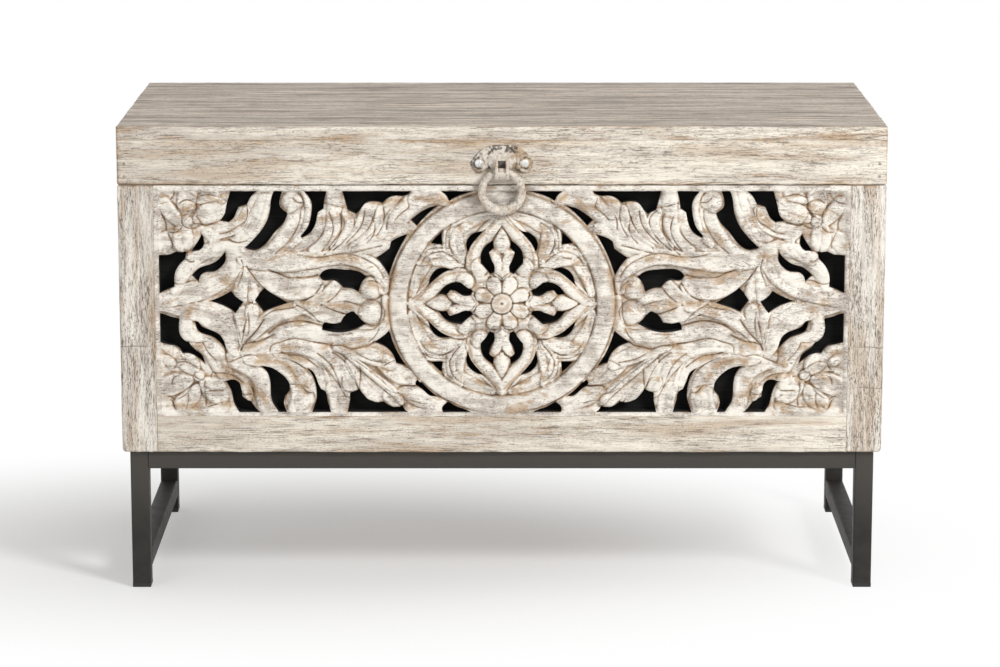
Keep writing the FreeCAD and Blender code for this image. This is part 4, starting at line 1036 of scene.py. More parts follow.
def whitewashed_carving(colours):
    """Whitewash on the carving, with painted light: a painted highlight on the crests, tan and painted shade
    in the hollows, speckled pores, dirt and painted shade in the cuts, and painted shade down the piercings'
    walls.
    """
    f = Finish("carved_whitewash")
    bare, where = colours.bare_wood, f.place()
    streaks = f.noise(where, (16, 60, 110), 4.0, 0.62, 0.5)
    hairs = f.noise(where, (110, 200, 620), 5.0, 0.7, 0.6)
    pores = f.noise(where, (360, 400, 620), 5.0, 0.7)
    thin = f.noise(where, (26, 40, 48), 4.0, 0.7, 0.4)
    clouds = f.noise(where, 30.0, 3.0, 0.6)
    blots = f.noise(where, 85.0, 5.0, 0.68)
    crest_highlight, hollow = f.level("crest_highlight"), f.level("hollow")
    # Painted highlight on the crests and painted shade in the hollows, through the grey of the wash
    tone = f.total((streaks, 0.5), (clouds, 0.5), f.level("tone"), (crest_highlight, -0.075), (hollow, 0.08))
    wash = f.blend(f.ramp(tone, 0.42, 0.6, 0.0, 0.85), colours.whitewash, colours.smudge)
    # Tan in the hollows: dirt, and a painted shade that darkens the recesses
    wash = f.blend(f.ramp(f.total(hollow, (blots, 0.6)), 0.4, 0.85, 0.0, 0.85), wash, bare)
    rubbed = f.times(f.level("worn"), f.ramp(blots, 0.34, 0.52))
    rubbed = f.most(rubbed, f.ramp(f.total(thin, (crest_highlight, -0.06)), 0.54, 0.63, 0.0, 0.8))
    wash = f.blend(f.times(rubbed, 0.9), wash, bare)
    dark = f.most(f.ramp(hairs, 0.52, 0.65, 0.0, 0.85), f.ramp(pores, 0.53, 0.65, 0.0, 0.95))
    dark = f.times(dark, f.ramp(clouds, 0.36, 0.6, 0.25, 1.0))
    # Dark cut lines of dirt and painted shade, with the painted shadow round the loose ring, in patches
    dark = f.most(dark, f.times(f.level("line"), f.ramp(blots, 0.4, 0.6, 0.1, 0.9)))
    wash = f.blend(dark, wash, colours.grime_and_shade)
    # Painted shade: the walls of the piercings darken to near black going in
    wash = f.blend(f.ramp(f.level("deep"), 0.1, 0.6), wash, (0.012, 0.011, 0.01, 1))
    f.bump(f.combine("SUBTRACT", f.times(streaks, 0.6), dark), strength=0.35, distance=0.0006)
    return f.done(wash, f.ramp(streaks, 0.3, 0.7, 0.6, 0.8))


def bare_boards(pale):
    """Plain planed wood inside the trunk."""
    f = Finish("bare_inside_wood")
    grain = f.grain()
    rings = f.noise(grain, (3, 70, 70), 4.0, 0.6, 0.6)
    hairs = f.noise(grain, (24, 560, 560), 2.0, 0.6)
    tone = f.blend(f.ramp(rings, 0.32, 0.68), pale, tinted(pale, 0.62))
    tone = f.blend(f.ramp(hairs, 0.56, 0.74, 0.0, 0.5), tone, (0.11, 0.066, 0.036, 1))
    f.bump(hairs, strength=0.2, distance=0.0004)
    return f.done(tone, f.ramp(rings, 0.3, 0.7, 0.55, 0.7))


def black_backing():
    """Matt black painted board behind the piercings."""
    f = Finish("black_paint")
    brush = f.noise(f.place(), (30, 200, 300), 3.0)
    tone = f.blend(f.ramp(brush, 0.35, 0.7), (0.006, 0.006, 0.006, 1), (0.014, 0.0135, 0.013, 1))
    return f.done(tone, f.ramp(brush, 0.3, 0.7, 0.75, 0.9), Specular_IOR_Level=0.15)


def blackened_steel(name, colour, lift, roughness):
    """Dark coated steel with faint rolling marks."""
    f = Finish(name)
    where = f.place()
    mottle = f.noise(where, 60.0, 5.0, 0.65)
    tone = f.blend(f.ramp(mottle, 0.35, 0.68), colour, lift)
    f.bump(f.noise(where, 900.0, 2.0), strength=0.12, distance=0.0002)
    return f.done(tone, f.ramp(mottle, 0.3, 0.7, roughness - 0.06, roughness + 0.08), Metallic=0.35)


def stand_paint(colour):
    """Dark matt paint on the stand, with painted light: paler under the box and darker down the legs, and
    paler patches in a mottle.
    """
    f = Finish("stand_paint")
    where = f.place()
    height = f.node("ShaderNodeSeparateXYZ", {0: where}).outputs["Z"]
    mottle = f.noise(where, 60.0, 5.0, 0.65)
    lit_and_mottled, deep = tinted(colour, 2.1), tinted(colour, 0.8)
    # Painted light: paler high up under the box, darker down towards the floor
    tone = f.blend(f.ramp(height, 0.06, 0.15), deep, lit_and_mottled)
    tone = f.blend(f.ramp(mottle, 0.35, 0.68, 0.0, 0.25), tone, lit_and_mottled)
    f.bump(f.noise(where, 900.0, 2.0), strength=0.12, distance=0.0002)
    return f.done(tone, f.ramp(mottle, 0.3, 0.7, 0.5, 0.62), Metallic=0.2, Specular_IOR_Level=0.3)


def foot_plastic():
    """Black moulded plastic."""
    f = Finish("foot_plastic")
    grainy = f.noise(f.place(), 700.0, 3.0)
    tone = f.blend(grainy, (0.008, 0.008, 0.008, 1), (0.02, 0.02, 0.02, 1))
    f.bump(grainy, strength=0.2, distance=0.0002)
    return f.done(tone, f.ramp(grainy, 0.3, 0.7, 0.45, 0.6))


def washed_iron(coat, rust):
    """Cast iron with worn whitewash, tan rust, dark pits and painted shade."""
    f = Finish("washed_iron")
    where = f.place()
    blots = f.noise(where, 62.0, 4.0, 0.65)
    pits = f.noise(where, 260.0, 6.0, 0.7)
    scrapes = f.noise(where, (420, 300, 190), 6.0, 0.7)
    tone = f.blend(f.ramp(scrapes, 0.4, 0.66), coat, tinted(coat, 1.4))
    stain = f.total(blots, (f.level("stain"), 0.14))
    tone = f.blend(f.ramp(stain, 0.46, 0.62, 0.0, 0.85), tone, rust)
    # Dark marks: pits, and the painted shade that each piece carries
    worn = f.total(f.ramp(pits, 0.36, 0.64, -0.3, 0.3), f.level("pit"))
    marks = f.most(f.ramp(pits, 0.5, 0.76), f.ramp(worn, 0.0, 1.0))
    tone = f.blend(f.times(marks, 0.92), tone, (0.05, 0.042, 0.036, 1))
    f.bump(f.combine("SUBTRACT", f.times(blots, 0.6), marks), strength=0.5, distance=0.0008)
    return f.done(tone, f.ramp(blots, 0.3, 0.7, 0.7, 0.5), Metallic=0.1)


# Values that a user would change
def length_property(name, description, default, low, high):
    """A length that the user can change."""
    return bpy.props.FloatProperty(
        name=name, description=description, default=default, min=low, max=high, unit="LENGTH")


def colour_property(name, description, default):
    """A linear colour that the user can change."""
    return bpy.props.FloatVectorProperty(
        name=name, description=description, default=(*default, 1.0), size=4, min=0.0, max=1.0,
        subtype="COLOR")


class TrunkSizes(bpy.types.PropertyGroup):
    """Sizes of the dressing."""
    worn_edge: length_property("Worn edge", "Mean radius of the rubbed board edges", 0.0024, 0.0005, 0.006)
    carving_grid: length_property(
        "Carving grid", "Spacing of the carved panel's mesh", 0.00095, 0.0008, 0.004)
    carving_relief: bpy.props.FloatProperty(
        name="Carving relief", description="How deep the leaves are modelled, as a share of the usual depth",
        default=1.0, min=0.2, max=1.5, subtype="FACTOR")
    tube_corner: length_property(
        "Tube corner", "Outer corner radius of the stand's square tube", 0.0022, 0.0005, 0.005)
    screw_head: length_property("Screw head", "Radius of the slotted screw heads", 0.0036, 0.001, 0.006)
    pull_screw_head: length_property(
        "Pull screw head", "Radius of the two screw heads on the pull", 0.0046, 0.001, 0.006)
    nail_head: length_property("Nail head", "Radius of the lid's nail heads", 0.0018, 0.0005, 0.004)


class TrunkColours(bpy.types.PropertyGroup):
    """Colours of the finishes."""
    whitewash: colour_property("Whitewash", "Wash on the carving and the stiles", (0.86, 0.81, 0.73))
    frame_wash: colour_property("Frame wash", "Creamier wash on the box and the lid", (0.87, 0.81, 0.7))
    pull_wash: colour_property("Pull wash", "Worn wash on the pull's iron", (0.57, 0.515, 0.445))
    smudge: colour_property("Smudge", "Greyed wash where the grain shows through", (0.47, 0.41, 0.355))
    # Also the tan of the carving's hollows, partly painted shade, and of the painted shadow round the loose
    # ring
    bare_wood: colour_property("Bare wood", "Wood where the wash is rubbed off", (0.47, 0.315, 0.18))
    # Dark colour of dirt in pores and seams; in the carving it also paints shade in the cuts
    grime_and_shade: colour_property("Grime", "Dirt in pores, cuts and seams", (0.13, 0.098, 0.075))
    # Darker, greyer colour of the lid's top
    lid_top_colour: colour_property("Lid wash", "Greyer wash on the lid's top", (0.50, 0.43, 0.365))
    inside_wood: colour_property("Inside wood", "Unpainted boards inside", (0.42, 0.27, 0.15))
    stand_steel: colour_property("Stand steel", "Coating of the stand's tubes", (0.028, 0.0255, 0.0225))


# Geometry nodes
class GeometryTree(NodeTree):
    """A geometry tree with named inputs, one of them its finish."""

    def __init__(self, name, values):
        super().__init__(bpy.data.node_groups.new(name, "GeometryNodeTree"))
        for way in ("INPUT", "OUTPUT"):
            self.tree.interface.new_socket("Geometry", in_out=way, socket_type="NodeSocketGeometry")
        kinds = {float: "NodeSocketFloat", bool: "NodeSocketBool", int: "NodeSocketInt"}
        for label, value in values.items():
            socket = self.tree.interface.new_socket(label, in_out="INPUT", socket_type=kinds[type(value)])
            socket.default_value = value
        self.tree.interface.new_socket("Finish", in_out="INPUT", socket_type="NodeSocketMaterial")
        self.given = self.node("NodeGroupInput").outputs

    def end(self, geometry):
        """Ends the tree with one plain mesh in the given finish."""
        real = self.node("GeometryNodeRealizeInstances", {"Geometry": geometry}).outputs["Geometry"]
        painted = self.node("GeometryNodeSetMaterial", {"Geometry": real, "Material": self.given["Finish"]})
        self.node("NodeGroupOutput", {"Geometry": painted.outputs["Geometry"]})
        return self.tree


def run_tree(name, tree, mesh, values):
    """Runs a geometry tree on a mesh and returns the result as a plain mesh object."""
    holder = put_in_scene(name, mesh)
    modifier = holder.modifiers.new(name, "NODES")
    modifier.node_group = tree
    for item in tree.interface.items_tree:
        if item.in_out == "INPUT" and item.name in values:
            modifier[item.identifier] = values[item.name]
    graph = bpy.context.evaluated_depsgraph_get()
    result = bpy.data.meshes.new_from_object(holder.evaluated_get(graph))
    holder.modifiers.remove(modifier)
    holder.data = result
    result.name = name
    return holder


def tube_tree():
    """Square tube with rounded corners along every edge of the incoming mesh."""
    tube = GeometryTree("square_tube", {"Tube Size": TUBE_SIZE * MM, "Corner": 0.002})
    size = tube.given["Tube Size"]
    path = tube.node("GeometryNodeMeshToCurve", {"Mesh": tube.given["Geometry"]})
    square = tube.node("GeometryNodeCurvePrimitiveQuadrilateral", {"Width": size, "Height": size})
    fillet = tube.node("GeometryNodeFilletCurve", {
        "Curve": square.outputs["Curve"], "Radius": tube.given["Corner"], "Count": 4}, mode="POLY")
    sweep = tube.node("GeometryNodeCurveToMesh", {
        "Curve": path.outputs["Curve"], "Profile Curve": fillet.outputs["Curve"], "Fill Caps": True})
    return tube.end(sweep.outputs["Mesh"])


def head_tree():
    """Domed heads on points, with a slot cut across each, facing along the points' own direction."""
    head = GeometryTree("fastener_heads", {
        "Head Radius": 0.003, "Head Rise": 0.0015, "Slot Width": 0.0009, "Slotted": True, "Seed": 3})
    radius, rise = head.given["Head Radius"], head.given["Head Rise"]

    def vector(**parts):
        return head.node("ShaderNodeCombineXYZ", parts).outputs["Vector"]

    ball = head.node("GeometryNodeMeshUVSphere", {"Segments": 24, "Rings": 12, "Radius": 1.0})
    dome = head.node("GeometryNodeTransform", {
        "Geometry": ball.outputs["Mesh"], "Scale": vector(X=radius, Y=radius, Z=rise)}).outputs["Geometry"]
    bar = vector(X=head.times(radius, 3.0), Y=head.given["Slot Width"], Z=rise)
    cutter = head.node("GeometryNodeMeshCube", {"Size": bar})
    raised = head.node("GeometryNodeTransform", {
        "Geometry": cutter.outputs["Mesh"], "Translation": vector(Z=rise)}).outputs["Geometry"]
    slotted = head.node("GeometryNodeMeshBoolean", {"Mesh 1": dome, "Mesh 2": raised},
                        operation="DIFFERENCE", solver="EXACT")
    choose = head.node("GeometryNodeSwitch", input_type="GEOMETRY", inputs={
        "Switch": head.given["Slotted"], "False": dome, "True": slotted.outputs["Mesh"]})
    facing = head.node("GeometryNodeInputNamedAttribute", {"Name": "facing"}, data_type="FLOAT_VECTOR")
    aim = head.node("FunctionNodeAlignRotationToVector", {"Vector": facing.outputs["Attribute"]}, axis="Z")
    turn = head.node("FunctionNodeRandomValue", data_type="FLOAT_VECTOR", inputs={
        0: (0.0, 0.0, 0.0), 1: (0.0, 0.0, math.pi), "Seed": head.given["Seed"]})
    half_turn = head.node("FunctionNodeEulerToRotation", {"Euler": turn.outputs[0]})
    spin = head.node("FunctionNodeRotateRotation", rotation_space="LOCAL", inputs={
        "Rotation": aim.outputs["Rotation"], "Rotate By": half_turn.outputs["Rotation"]})
    spread = head.node("GeometryNodeInstanceOnPoints", {
        "Points": head.given["Geometry"], "Instance": choose.outputs["Output"],
        "Rotation": spin.outputs["Rotation"]})
    return head.end(spread.outputs["Instances"])


def head_points(name, spots, facing):
    """A mesh of loose points that carries the direction each head faces."""
    mesh = bpy.data.meshes.new(name)
    mesh.from_pydata([tuple(c * MM for c in spot) for spot in spots], [], [])
    layer = mesh.attributes.new("facing", "FLOAT_VECTOR", "POINT")
    layer.data.foreach_set("vector", [c for _ in spots for c in facing])
    return mesh


# Boards: CAD node, its spans along x, y and z, axis of the grain, sides in view
WIDTH = (-HALF_WIDTH, HALF_WIDTH)
LEFT_SIDE = (-HALF_WIDTH, -SIDE_INNER)
RIGHT_SIDE = (SIDE_INNER, HALF_WIDTH)
BETWEEN_SIDES = (-SIDE_INNER, SIDE_INNER)
FRONT = (FRONT_Y, FRONT_INNER_Y)
BACK = (BACK_INNER_Y, BACK_Y)
BEHIND_FRONT = (FRONT_INNER_Y, BACK_Y)
BETWEEN_RAILS = (FRONT_INNER_Y, BACK_INNER_Y)
BOX_HEIGHT = (BOX_LOW, BOX_TOP)
LOWER = (BOX_LOW, BOX_SEAM)
UPPER = (BOX_SEAM, BOX_TOP)
LID_RAIL = (LID_LOW, LID_SEAT)
LID_BOARD = (LID_SEAT, LID_TOP)

FRONT_STILES = [
    ("front_left_stile", (-HALF_WIDTH, -PANEL_HALF), FRONT, BOX_HEIGHT, 2, "x- y- z- z+"),
    ("front_right_stile", (PANEL_HALF, HALF_WIDTH), FRONT, BOX_HEIGHT, 2, "x+ y- z- z+"),
]
BOX_BOARDS = [
    ("front_bottom_rail", (-PANEL_HALF, PANEL_HALF), FRONT, (BOX_LOW, PANEL_LOW), 0, "y- z-"),
    ("left_side_lower_board", LEFT_SIDE, BEHIND_FRONT, LOWER, 1, "x- y+ z-"),
    ("left_side_upper_board", LEFT_SIDE, BEHIND_FRONT, UPPER, 1, "x- y+ z+ x+"),
    ("right_side_lower_board", RIGHT_SIDE, BEHIND_FRONT, LOWER, 1, "x+ y+ z-"),
    ("right_side_upper_board", RIGHT_SIDE, BEHIND_FRONT, UPPER, 1, "x+ y+ z+ x-"),
    ("back_lower_board", BETWEEN_SIDES, BACK, LOWER, 0, "y+ z-"),
    ("back_upper_board", BETWEEN_SIDES, BACK, UPPER, 0, "y+ z+ y-"),
]
LID_RAILS = [
    ("lid_front_rail", WIDTH, FRONT, LID_RAIL, 0, "x- x+ y- z- y+"),
    ("lid_back_rail", WIDTH, BACK, LID_RAIL, 0, "x- x+ y+ z-"),
    ("lid_left_rail", LEFT_SIDE, BETWEEN_RAILS, LID_RAIL, 1, "x- z-"),
    ("lid_right_rail", RIGHT_SIDE, BETWEEN_RAILS, LID_RAIL, 1, "x+ z-"),
]
LID_BOARDS = [
    ("lid_front_board", WIDTH, (FRONT_Y, -LID_SEAM_Y), LID_BOARD, 0, "x- x+ y- z+"),
    ("lid_middle_board", WIDTH, (-LID_SEAM_Y, LID_SEAM_Y), LID_BOARD, 0, "x- x+ z+"),
    ("lid_back_board", WIDTH, (LID_SEAM_Y, BACK_Y), LID_BOARD, 0, "x- x+ y+ z+"),
]

# Boards inside that take their size from the frame: CAD node, axis of the grain, body
INSIDE_BOARDS = [
    ("floor_panel", 0, "trunk"), ("front_cleat", 0, "trunk"), ("back_cleat", 0, "trunk"),
    ("left_cleat", 1, "trunk"), ("right_cleat", 1, "trunk"), ("front_left_post", 2, "trunk"),
    ("front_right_post", 2, "trunk"), ("back_left_post", 2, "trunk"), ("back_right_post", 2, "trunk"),
    ("front_top_batten", 0, "trunk"), ("lid_left_batten", 1, "lid"), ("lid_right_batten", 1, "lid"),
]

# Cracks by height and depth, the rounder foot of a stile, and darker or paler ends of single boards
STILE_CRACKS = {"front_left_stile": [(296.0, 0.5)], "front_right_stile": [(295.0, 0.5), (246.0, 0.4)]}
STILE_CORNER = 4.5
BOARD_TONES = {
    "front_left_stile": (0.06, 0.04), "front_right_stile": (0.03, 0.03), "front_bottom_rail": (0.03, 0.03),
    "lid_front_rail": (0.08, -0.02), "lid_front_board": (0.05, -0.03), "left_side_upper_board": (0.03, 0.03),
    "right_side_lower_board": (0.03, 0.03), "back_lower_board": (0.04, 0.04),
}


def lay_boards(boards, material, body, slot, worn, joint, first_seed):
    """Makes one worn board for each row and stands it for its CAD node."""
    for place, (node, *spans, along, sides) in enumerate(boards):
        low, high = zip(*spans)
        points, faces, shades = board_mesh(
            low, high, along, first_seed + place, worn, joint, sides.split(),
            cracks=STILE_CRACKS.get(node, ()), corner=STILE_CORNER if "stile" in node else 0.0,
            tones=BOARD_TONES.get(node, (0, 0)))
        new_piece(f"{node}_worn", points, faces, material, body, slot, [node], **shades)


class TRUNK_OT_box_boards(bpy.types.Operator):
    """Make the stiles, rail, side boards and back boards of the box"""
    bl_idname = "trunk.box_boards"
    bl_label = "Box boards"

    def execute(self, context):
        colours = context.scene.trunk_colours
        worn = context.scene.trunk_sizes.worn_edge / MM
        gritty = whitewashed_boards(
            "whitewashed_stiles", colours.whitewash, colours,
            grit=1.2, smears=0.7, strands=85, edge_wear=0.09, seam_shade=0.2)
        plain = whitewashed_boards(
            "whitewashed_frame", colours.frame_wash, colours,
            grit=0.85, smears=0.6, strands=45, edge_wear=0.07, seam_shade=0.25)
        lay_boards(FRONT_STILES, gritty, "trunk", "frame_wood", worn, joint=0.5, first_seed=100)
        lay_boards(BOX_BOARDS, plain, "trunk", "frame_wood", worn, joint=0.5, first_seed=102)
        return {"FINISHED"}


# The carved front
def whole(field):
    """A field of the right half, joined to its mirror image."""
    return np.hstack([field[:, :0:-1], field])


def chiselled(height, step):
    """The relief with shallow tool marks, held below the panel's front."""
    generator = np.random.default_rng(41)
    marks = soften(generator.normal(size=height.shape), 2.2 / step)
    marks += 2.5 * soften(generator.normal(size=height.shape), 5.0 / step)
    return np.minimum(height + 2.0 * marks, 0.0)


def wash_levels(half, height, step):
    """How hollow, cut, rubbed, raised and toned the whole panel's wash is at each point of the grid. Hollows
    and cuts carry painted shade, raised crests a painted highlight, and a band round the loose ring its
    painted shadow.
    """
    on_ring = np.abs(half.radius - RING_MIDDLE) < RING_WIDTH / 2
    inner = np.minimum(FIELD_HALF - half.out, np.minimum(FIELD_TOP - half.up, half.up - FIELD_LOW))
    inner = whole(np.clip(inner / 6, 0.15, 1) * np.where(on_ring, 0.35, 1.0))
    # Fine cavities add to the dark cut lines as painted shade
    fine = unit((soften(height, 1.1 / step) - height) * 1.6) * inner
    # Hollows at two scales, for tan dirt and a painted shade in the recesses
    hollow = unit((soften(height, 2.2 / step) - height) * 0.5) * inner
    broad = np.clip((soften(height, 7.0 / step) - height) * 0.25, -1, 1)
    hang = HANG_Z - LOOSE_RING_CENTRE - MEDALLION_Z
    # A painted shadow of the loose ring: a band of dark lines and tan round where it hangs
    painted_ring_shadow = whole(bell(np.hypot(half.out, half.up - hang) - LOOSE_RING_OUTER, 4))
    tone = np.where(half.up < FIELD_LOW + 1, 0.05, 0.0)
    tone = np.where(half.out > FIELD_HALF - 2, 0.06, tone)
    tone = np.where(half.radius < RING_INNER, -0.03, tone)
    return {
        "hollow": np.maximum(hollow, 0.3 * np.maximum(broad, 0) * inner),
        "line": np.maximum(np.maximum(whole(half.line), fine), 0.45 * painted_ring_shadow),
        "worn": np.maximum(whole(half.worn), 0.8 * painted_ring_shadow),
        # Crests, lifted paler as a painted highlight
        "crest_highlight": unit(-broad * 1.6),
        "tone": whole(np.where(on_ring, 0.04, tone)),
    }


class TRUNK_OT_carved_front(bpy.types.Operator):
    """Carve the pierced front panel and paint the backing behind it"""
    bl_idname = "trunk.carved_front"
    bl_label = "Carved front"

    def execute(self, context):
        sizes, colours = context.scene.trunk_sizes, context.scene.trunk_colours
        step = sizes.carving_grid / MM
        half = carve_half(step, sizes.carving_relief)
        height = chiselled(whole(half.height), step)
        levels = wash_levels(half, height, step)
        x = np.concatenate([-half.out[0, :0:-1], half.out[0]])
        z = half.up[:, 0] + MEDALLION_Z
        grid_x, grid_z = np.meshgrid(x, z)
        border = np.minimum(PANEL_HALF - np.abs(grid_x), np.minimum(grid_z - PANEL_LOW, BOX_TOP - grid_z))
        wood = np.minimum(whole(half.wood), border)
        r = np.hypot(grid_x, grid_z - MEDALLION_Z)
        wash = whitewashed_carving(colours)
        fields = {
            "carved_left_leaves": np.minimum(-grid_x, r - RING_OUTER),
            "carved_right_leaves": np.minimum(grid_x, r - RING_OUTER),
            "carved_medallion": RING_OUTER - r,
        }
        for name, part in fields.items():
            points, faces, shades = relief_mesh(x, z, np.minimum(wood, part), height, FRONT_INNER_Y, levels)
            new_piece(name, points, faces, wash, "trunk", "carved_wood", ["carved_panel"], 55.0, **shades)
        finish_node("backing_panel", black_backing())
        return {"FINISHED"}


class TRUNK_OT_lid_boards(bpy.types.Operator):
    """Make the lid's rails and top boards"""
    bl_idname = "trunk.lid_boards"
    bl_label = "Lid boards"

    def execute(self, context):
        colours = context.scene.trunk_colours
        worn = context.scene.trunk_sizes.worn_edge / MM
        rails = whitewashed_boards(
            "whitewashed_lid_rails", colours.frame_wash, colours,
            grit=0.85, smears=0.6, strands=50, edge_wear=0.12, seam_shade=0.5)
        top = whitewashed_boards(
            "greyed_lid_top", colours.frame_wash, colours,
            grit=0.85, smears=0.75, strands=50, edge_wear=0.07, seam_shade=0.35, top_colour=colours.lid_top_colour)
        lay_boards(LID_RAILS, rails, "lid", "frame_wood", worn, joint=0.25, first_seed=200)
        lay_boards(LID_BOARDS, top, "lid", "lid_top_wood", worn, joint=0.12, first_seed=220)
        return {"FINISHED"}


class TRUNK_OT_inside_boards(bpy.types.Operator):
    """Make the floor, cleats, posts and battens inside"""
    bl_idname = "trunk.inside_boards"
    bl_label = "Inside boards"

    def execute(self, context):
        wood = bare_boards(context.scene.trunk_colours.inside_wood)
        first_seed = 300
        every_side = ["x-", "x+", "y-", "y+", "z-", "z+"]
        for place, (node, along, body) in enumerate(INSIDE_BOARDS):
            low, high = (Vector(corner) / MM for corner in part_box(node))
            points, faces, shades = board_mesh(
                low, high, along, first_seed + place, worn=0.8, joint=0.3, open_faces=every_side, step=14.0)
            new_piece(f"{node}_planed", points, faces, wood, body, "inner_wood", [node], **shades)
        return {"FINISHED"}


class TRUNK_OT_stand(bpy.types.Operator):
    """Sweep the stand's square tubes and finish its feet and tabs"""
    bl_idname = "trunk.stand"
    bl_label = "Stand"

    def execute(self, context):
        sizes, colours = context.scene.trunk_sizes, context.scene.trunk_colours
        steel = stand_paint(colours.stand_steel)
        plastic = foot_plastic()
        nodes, corners, edges = [], [], []
        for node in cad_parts:
            if node.endswith(("_leg", "_stretcher")) or node.startswith("stand_") and node.endswith("_rail"):
                low, high = (Vector(corner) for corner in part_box(node))
                along = max(range(3), key=lambda axis: high[axis] - low[axis])
                first, last = (low + high) / 2, (low + high) / 2
                first[along], last[along] = low[along], high[along]
                edges.append((len(corners), len(corners) + 1))
                corners += [first, last]
                nodes.append(node)
            elif node.endswith("_foot"):
                finish_node(node, plastic)
        mesh = bpy.data.meshes.new("stand_lines")
        mesh.from_pydata(corners, edges, [])
        tubes = run_tree("stand_tubes", tube_tree(), mesh, {
            "Tube Size": TUBE_SIZE * MM, "Corner": sizes.tube_corner, "Finish": steel})
        shade(tubes.data, 30.0)
        settle(tubes, "trunk", nodes)
        finish_node("corner_tabs", steel)
        return {"FINISHED"}


class TRUNK_OT_hinges(bpy.types.Operator):
    """Finish the hinges"""
    bl_idname = "trunk.hinges"
    bl_label = "Hinges"

    def execute(self, context):
        steel = blackened_steel("browned_hinge_steel", (0.075, 0.06, 0.046, 1), (0.14, 0.115, 0.09, 1), 0.45)
        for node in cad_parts:
            if "_hinge_" in node:
                finish_node(node, steel)
        return {"FINISHED"}


# Fastener heads: piece, CAD node, body, slot, the way they face, kind, places
BOTH_SIDES = (-1, 1)
STAND_TAB_Z = 165.0
STAND_SCREW_OUT = 403.0
STAND_SCREWS_Y = (-159.0, 161.0)
BATTEN_FACE_Z = 523.8
BATTEN_OUT = 225.0
BATTEN_SCREWS_Y = (-133.5, 0.0, 133.5)
HINGE_FACE_Y = 202.0
HINGE_OUT = 280.0
HINGE_SCREW_PITCH = 25.0
HINGE_BOX_SCREWS_Z = 463.4
HINGE_LID_SCREWS_Z = 513.4
HINGE_SCREWS_X = [side * HINGE_OUT + place * HINGE_SCREW_PITCH for side in BOTH_SIDES for place in (-1, 0, 1)]
PULL_FACE_Y = -202.5
PULL_SCREWS_Z = PLATE_MIDDLE - PULL_SCREW_DROP
NAIL_OUT = 441.0
NAILS_UP = (10.0, 25.0)
NAILS = [(side * NAIL_OUT, LID_LOW + up) for side in BOTH_SIDES for up in NAILS_UP]
DOWN, FORWARD, BACKWARD = (0, 0, -1), (0, -1, 0), (0, 1, 0)
HEADS = [
    ("stand_screw_heads", "stand_screws", "trunk", "fastener_steel", DOWN, "screw",
     [(side * STAND_SCREW_OUT, y, STAND_TAB_Z) for side in BOTH_SIDES for y in STAND_SCREWS_Y]),
    ("hinge_box_screw_heads", "hinge_box_screws", "trunk", "fastener_steel", BACKWARD, "screw",
     [(x, HINGE_FACE_Y, HINGE_BOX_SCREWS_Z) for x in HINGE_SCREWS_X]),
    ("hinge_lid_screw_heads", "hinge_lid_screws", "lid", "fastener_steel", BACKWARD, "screw",
     [(x, HINGE_FACE_Y, HINGE_LID_SCREWS_Z) for x in HINGE_SCREWS_X]),
    ("batten_screw_heads", "lid_batten_screws", "lid", "fastener_steel", DOWN, "screw",
     [(side * BATTEN_OUT, y, BATTEN_FACE_Z) for side in BOTH_SIDES for y in BATTEN_SCREWS_Y]),
    ("pull_screw_heads", "pull_screws", "lid", "pull_iron", FORWARD, "pull",
     [(side * PULL_SCREW_OUT, PULL_FACE_Y, PULL_SCREWS_Z) for side in BOTH_SIDES]),
    ("front_nail_heads", "lid_front_nails", "lid", "fastener_steel", FORWARD, "nail",
     [(x, FRONT_Y, z) for x, z in NAILS]),
    ("back_nail_heads", "lid_back_nails", "lid", "fastener_steel", BACKWARD, "nail",
     [(x, BACK_Y, z) for x, z in NAILS]),
]


class TRUNK_OT_fasteners(bpy.types.Operator):
    """Set the heads of the screws and nails"""
    bl_idname = "trunk.fasteners"
    bl_label = "Fasteners"

    def execute(self, context):
        sizes = context.scene.trunk_sizes
        dull = blackened_steel("dulled_screw_steel", (0.16, 0.15, 0.135, 1), (0.32, 0.3, 0.27, 1), 0.4)
        bright = blackened_steel("bright_screw_steel", (0.6, 0.6, 0.58, 1), (0.85, 0.84, 0.82, 1), 0.32)
        washed = blackened_steel("washed_nail_steel", (0.26, 0.22, 0.175, 1), (0.5, 0.44, 0.36, 1), 0.6)
        kinds = {"screw": (sizes.screw_head, 0.42, dull), "pull": (sizes.pull_screw_head, 0.42, bright),
                 "nail": (sizes.nail_head, 0.25, washed)}
        tree = head_tree()
        first_seed = 7
        for place, (name, node, body, slot, facing, kind, spots) in enumerate(HEADS):
            radius, rise, finish = kinds[kind]
            heads = run_tree(name, tree, head_points(f"{name}_spots", spots, facing), {
                "Head Radius": radius, "Head Rise": rise * radius, "Slot Width": 0.3 * radius,
                "Slotted": kind != "nail", "Seed": first_seed + place, "Finish": finish})
            shade(heads.data, 35.0)
            settle(heads, body, [node])
        return {"FINISHED"}


# The pull: half of its plate's outline, and its lug seen from the side about the ring's axis
PLATE_HALF = [
    [(0, 18)], [(6, 18.2), (12, 17.4), (18, 16)], [(22.5, 13.4), (27.5, 10)], [(32.4, 4.2), (37, -2.4)],
    [(34.4, -8.6), (30.5, -14)],
    [(25, -14.2), (20, -11.6), (15.5, -8.6), (12.5, -9.4), (11, -13), (10, -17), (6, -20), (0, -21)],
]
LUG_SIDE = [
    (-9.0, 13.0), (-4.0, 12.9), (0.5, 12.6), (4.2, 10.4), (6.4, 7.0), (8.2, 3.6), (9.4, 0.2), (9.2, -3.4),
    (7.4, -6.6), (4.0, -9.0), (0.0, -9.6), (-5.0, -9.6), (-9.0, -9.6), (-9.0, 0.0),
]
LUG_BORE = 6.6
CHEEKS = ((-8.0, -4.5), (4.5, 8.0))
FULL_TURN = 2 * math.pi


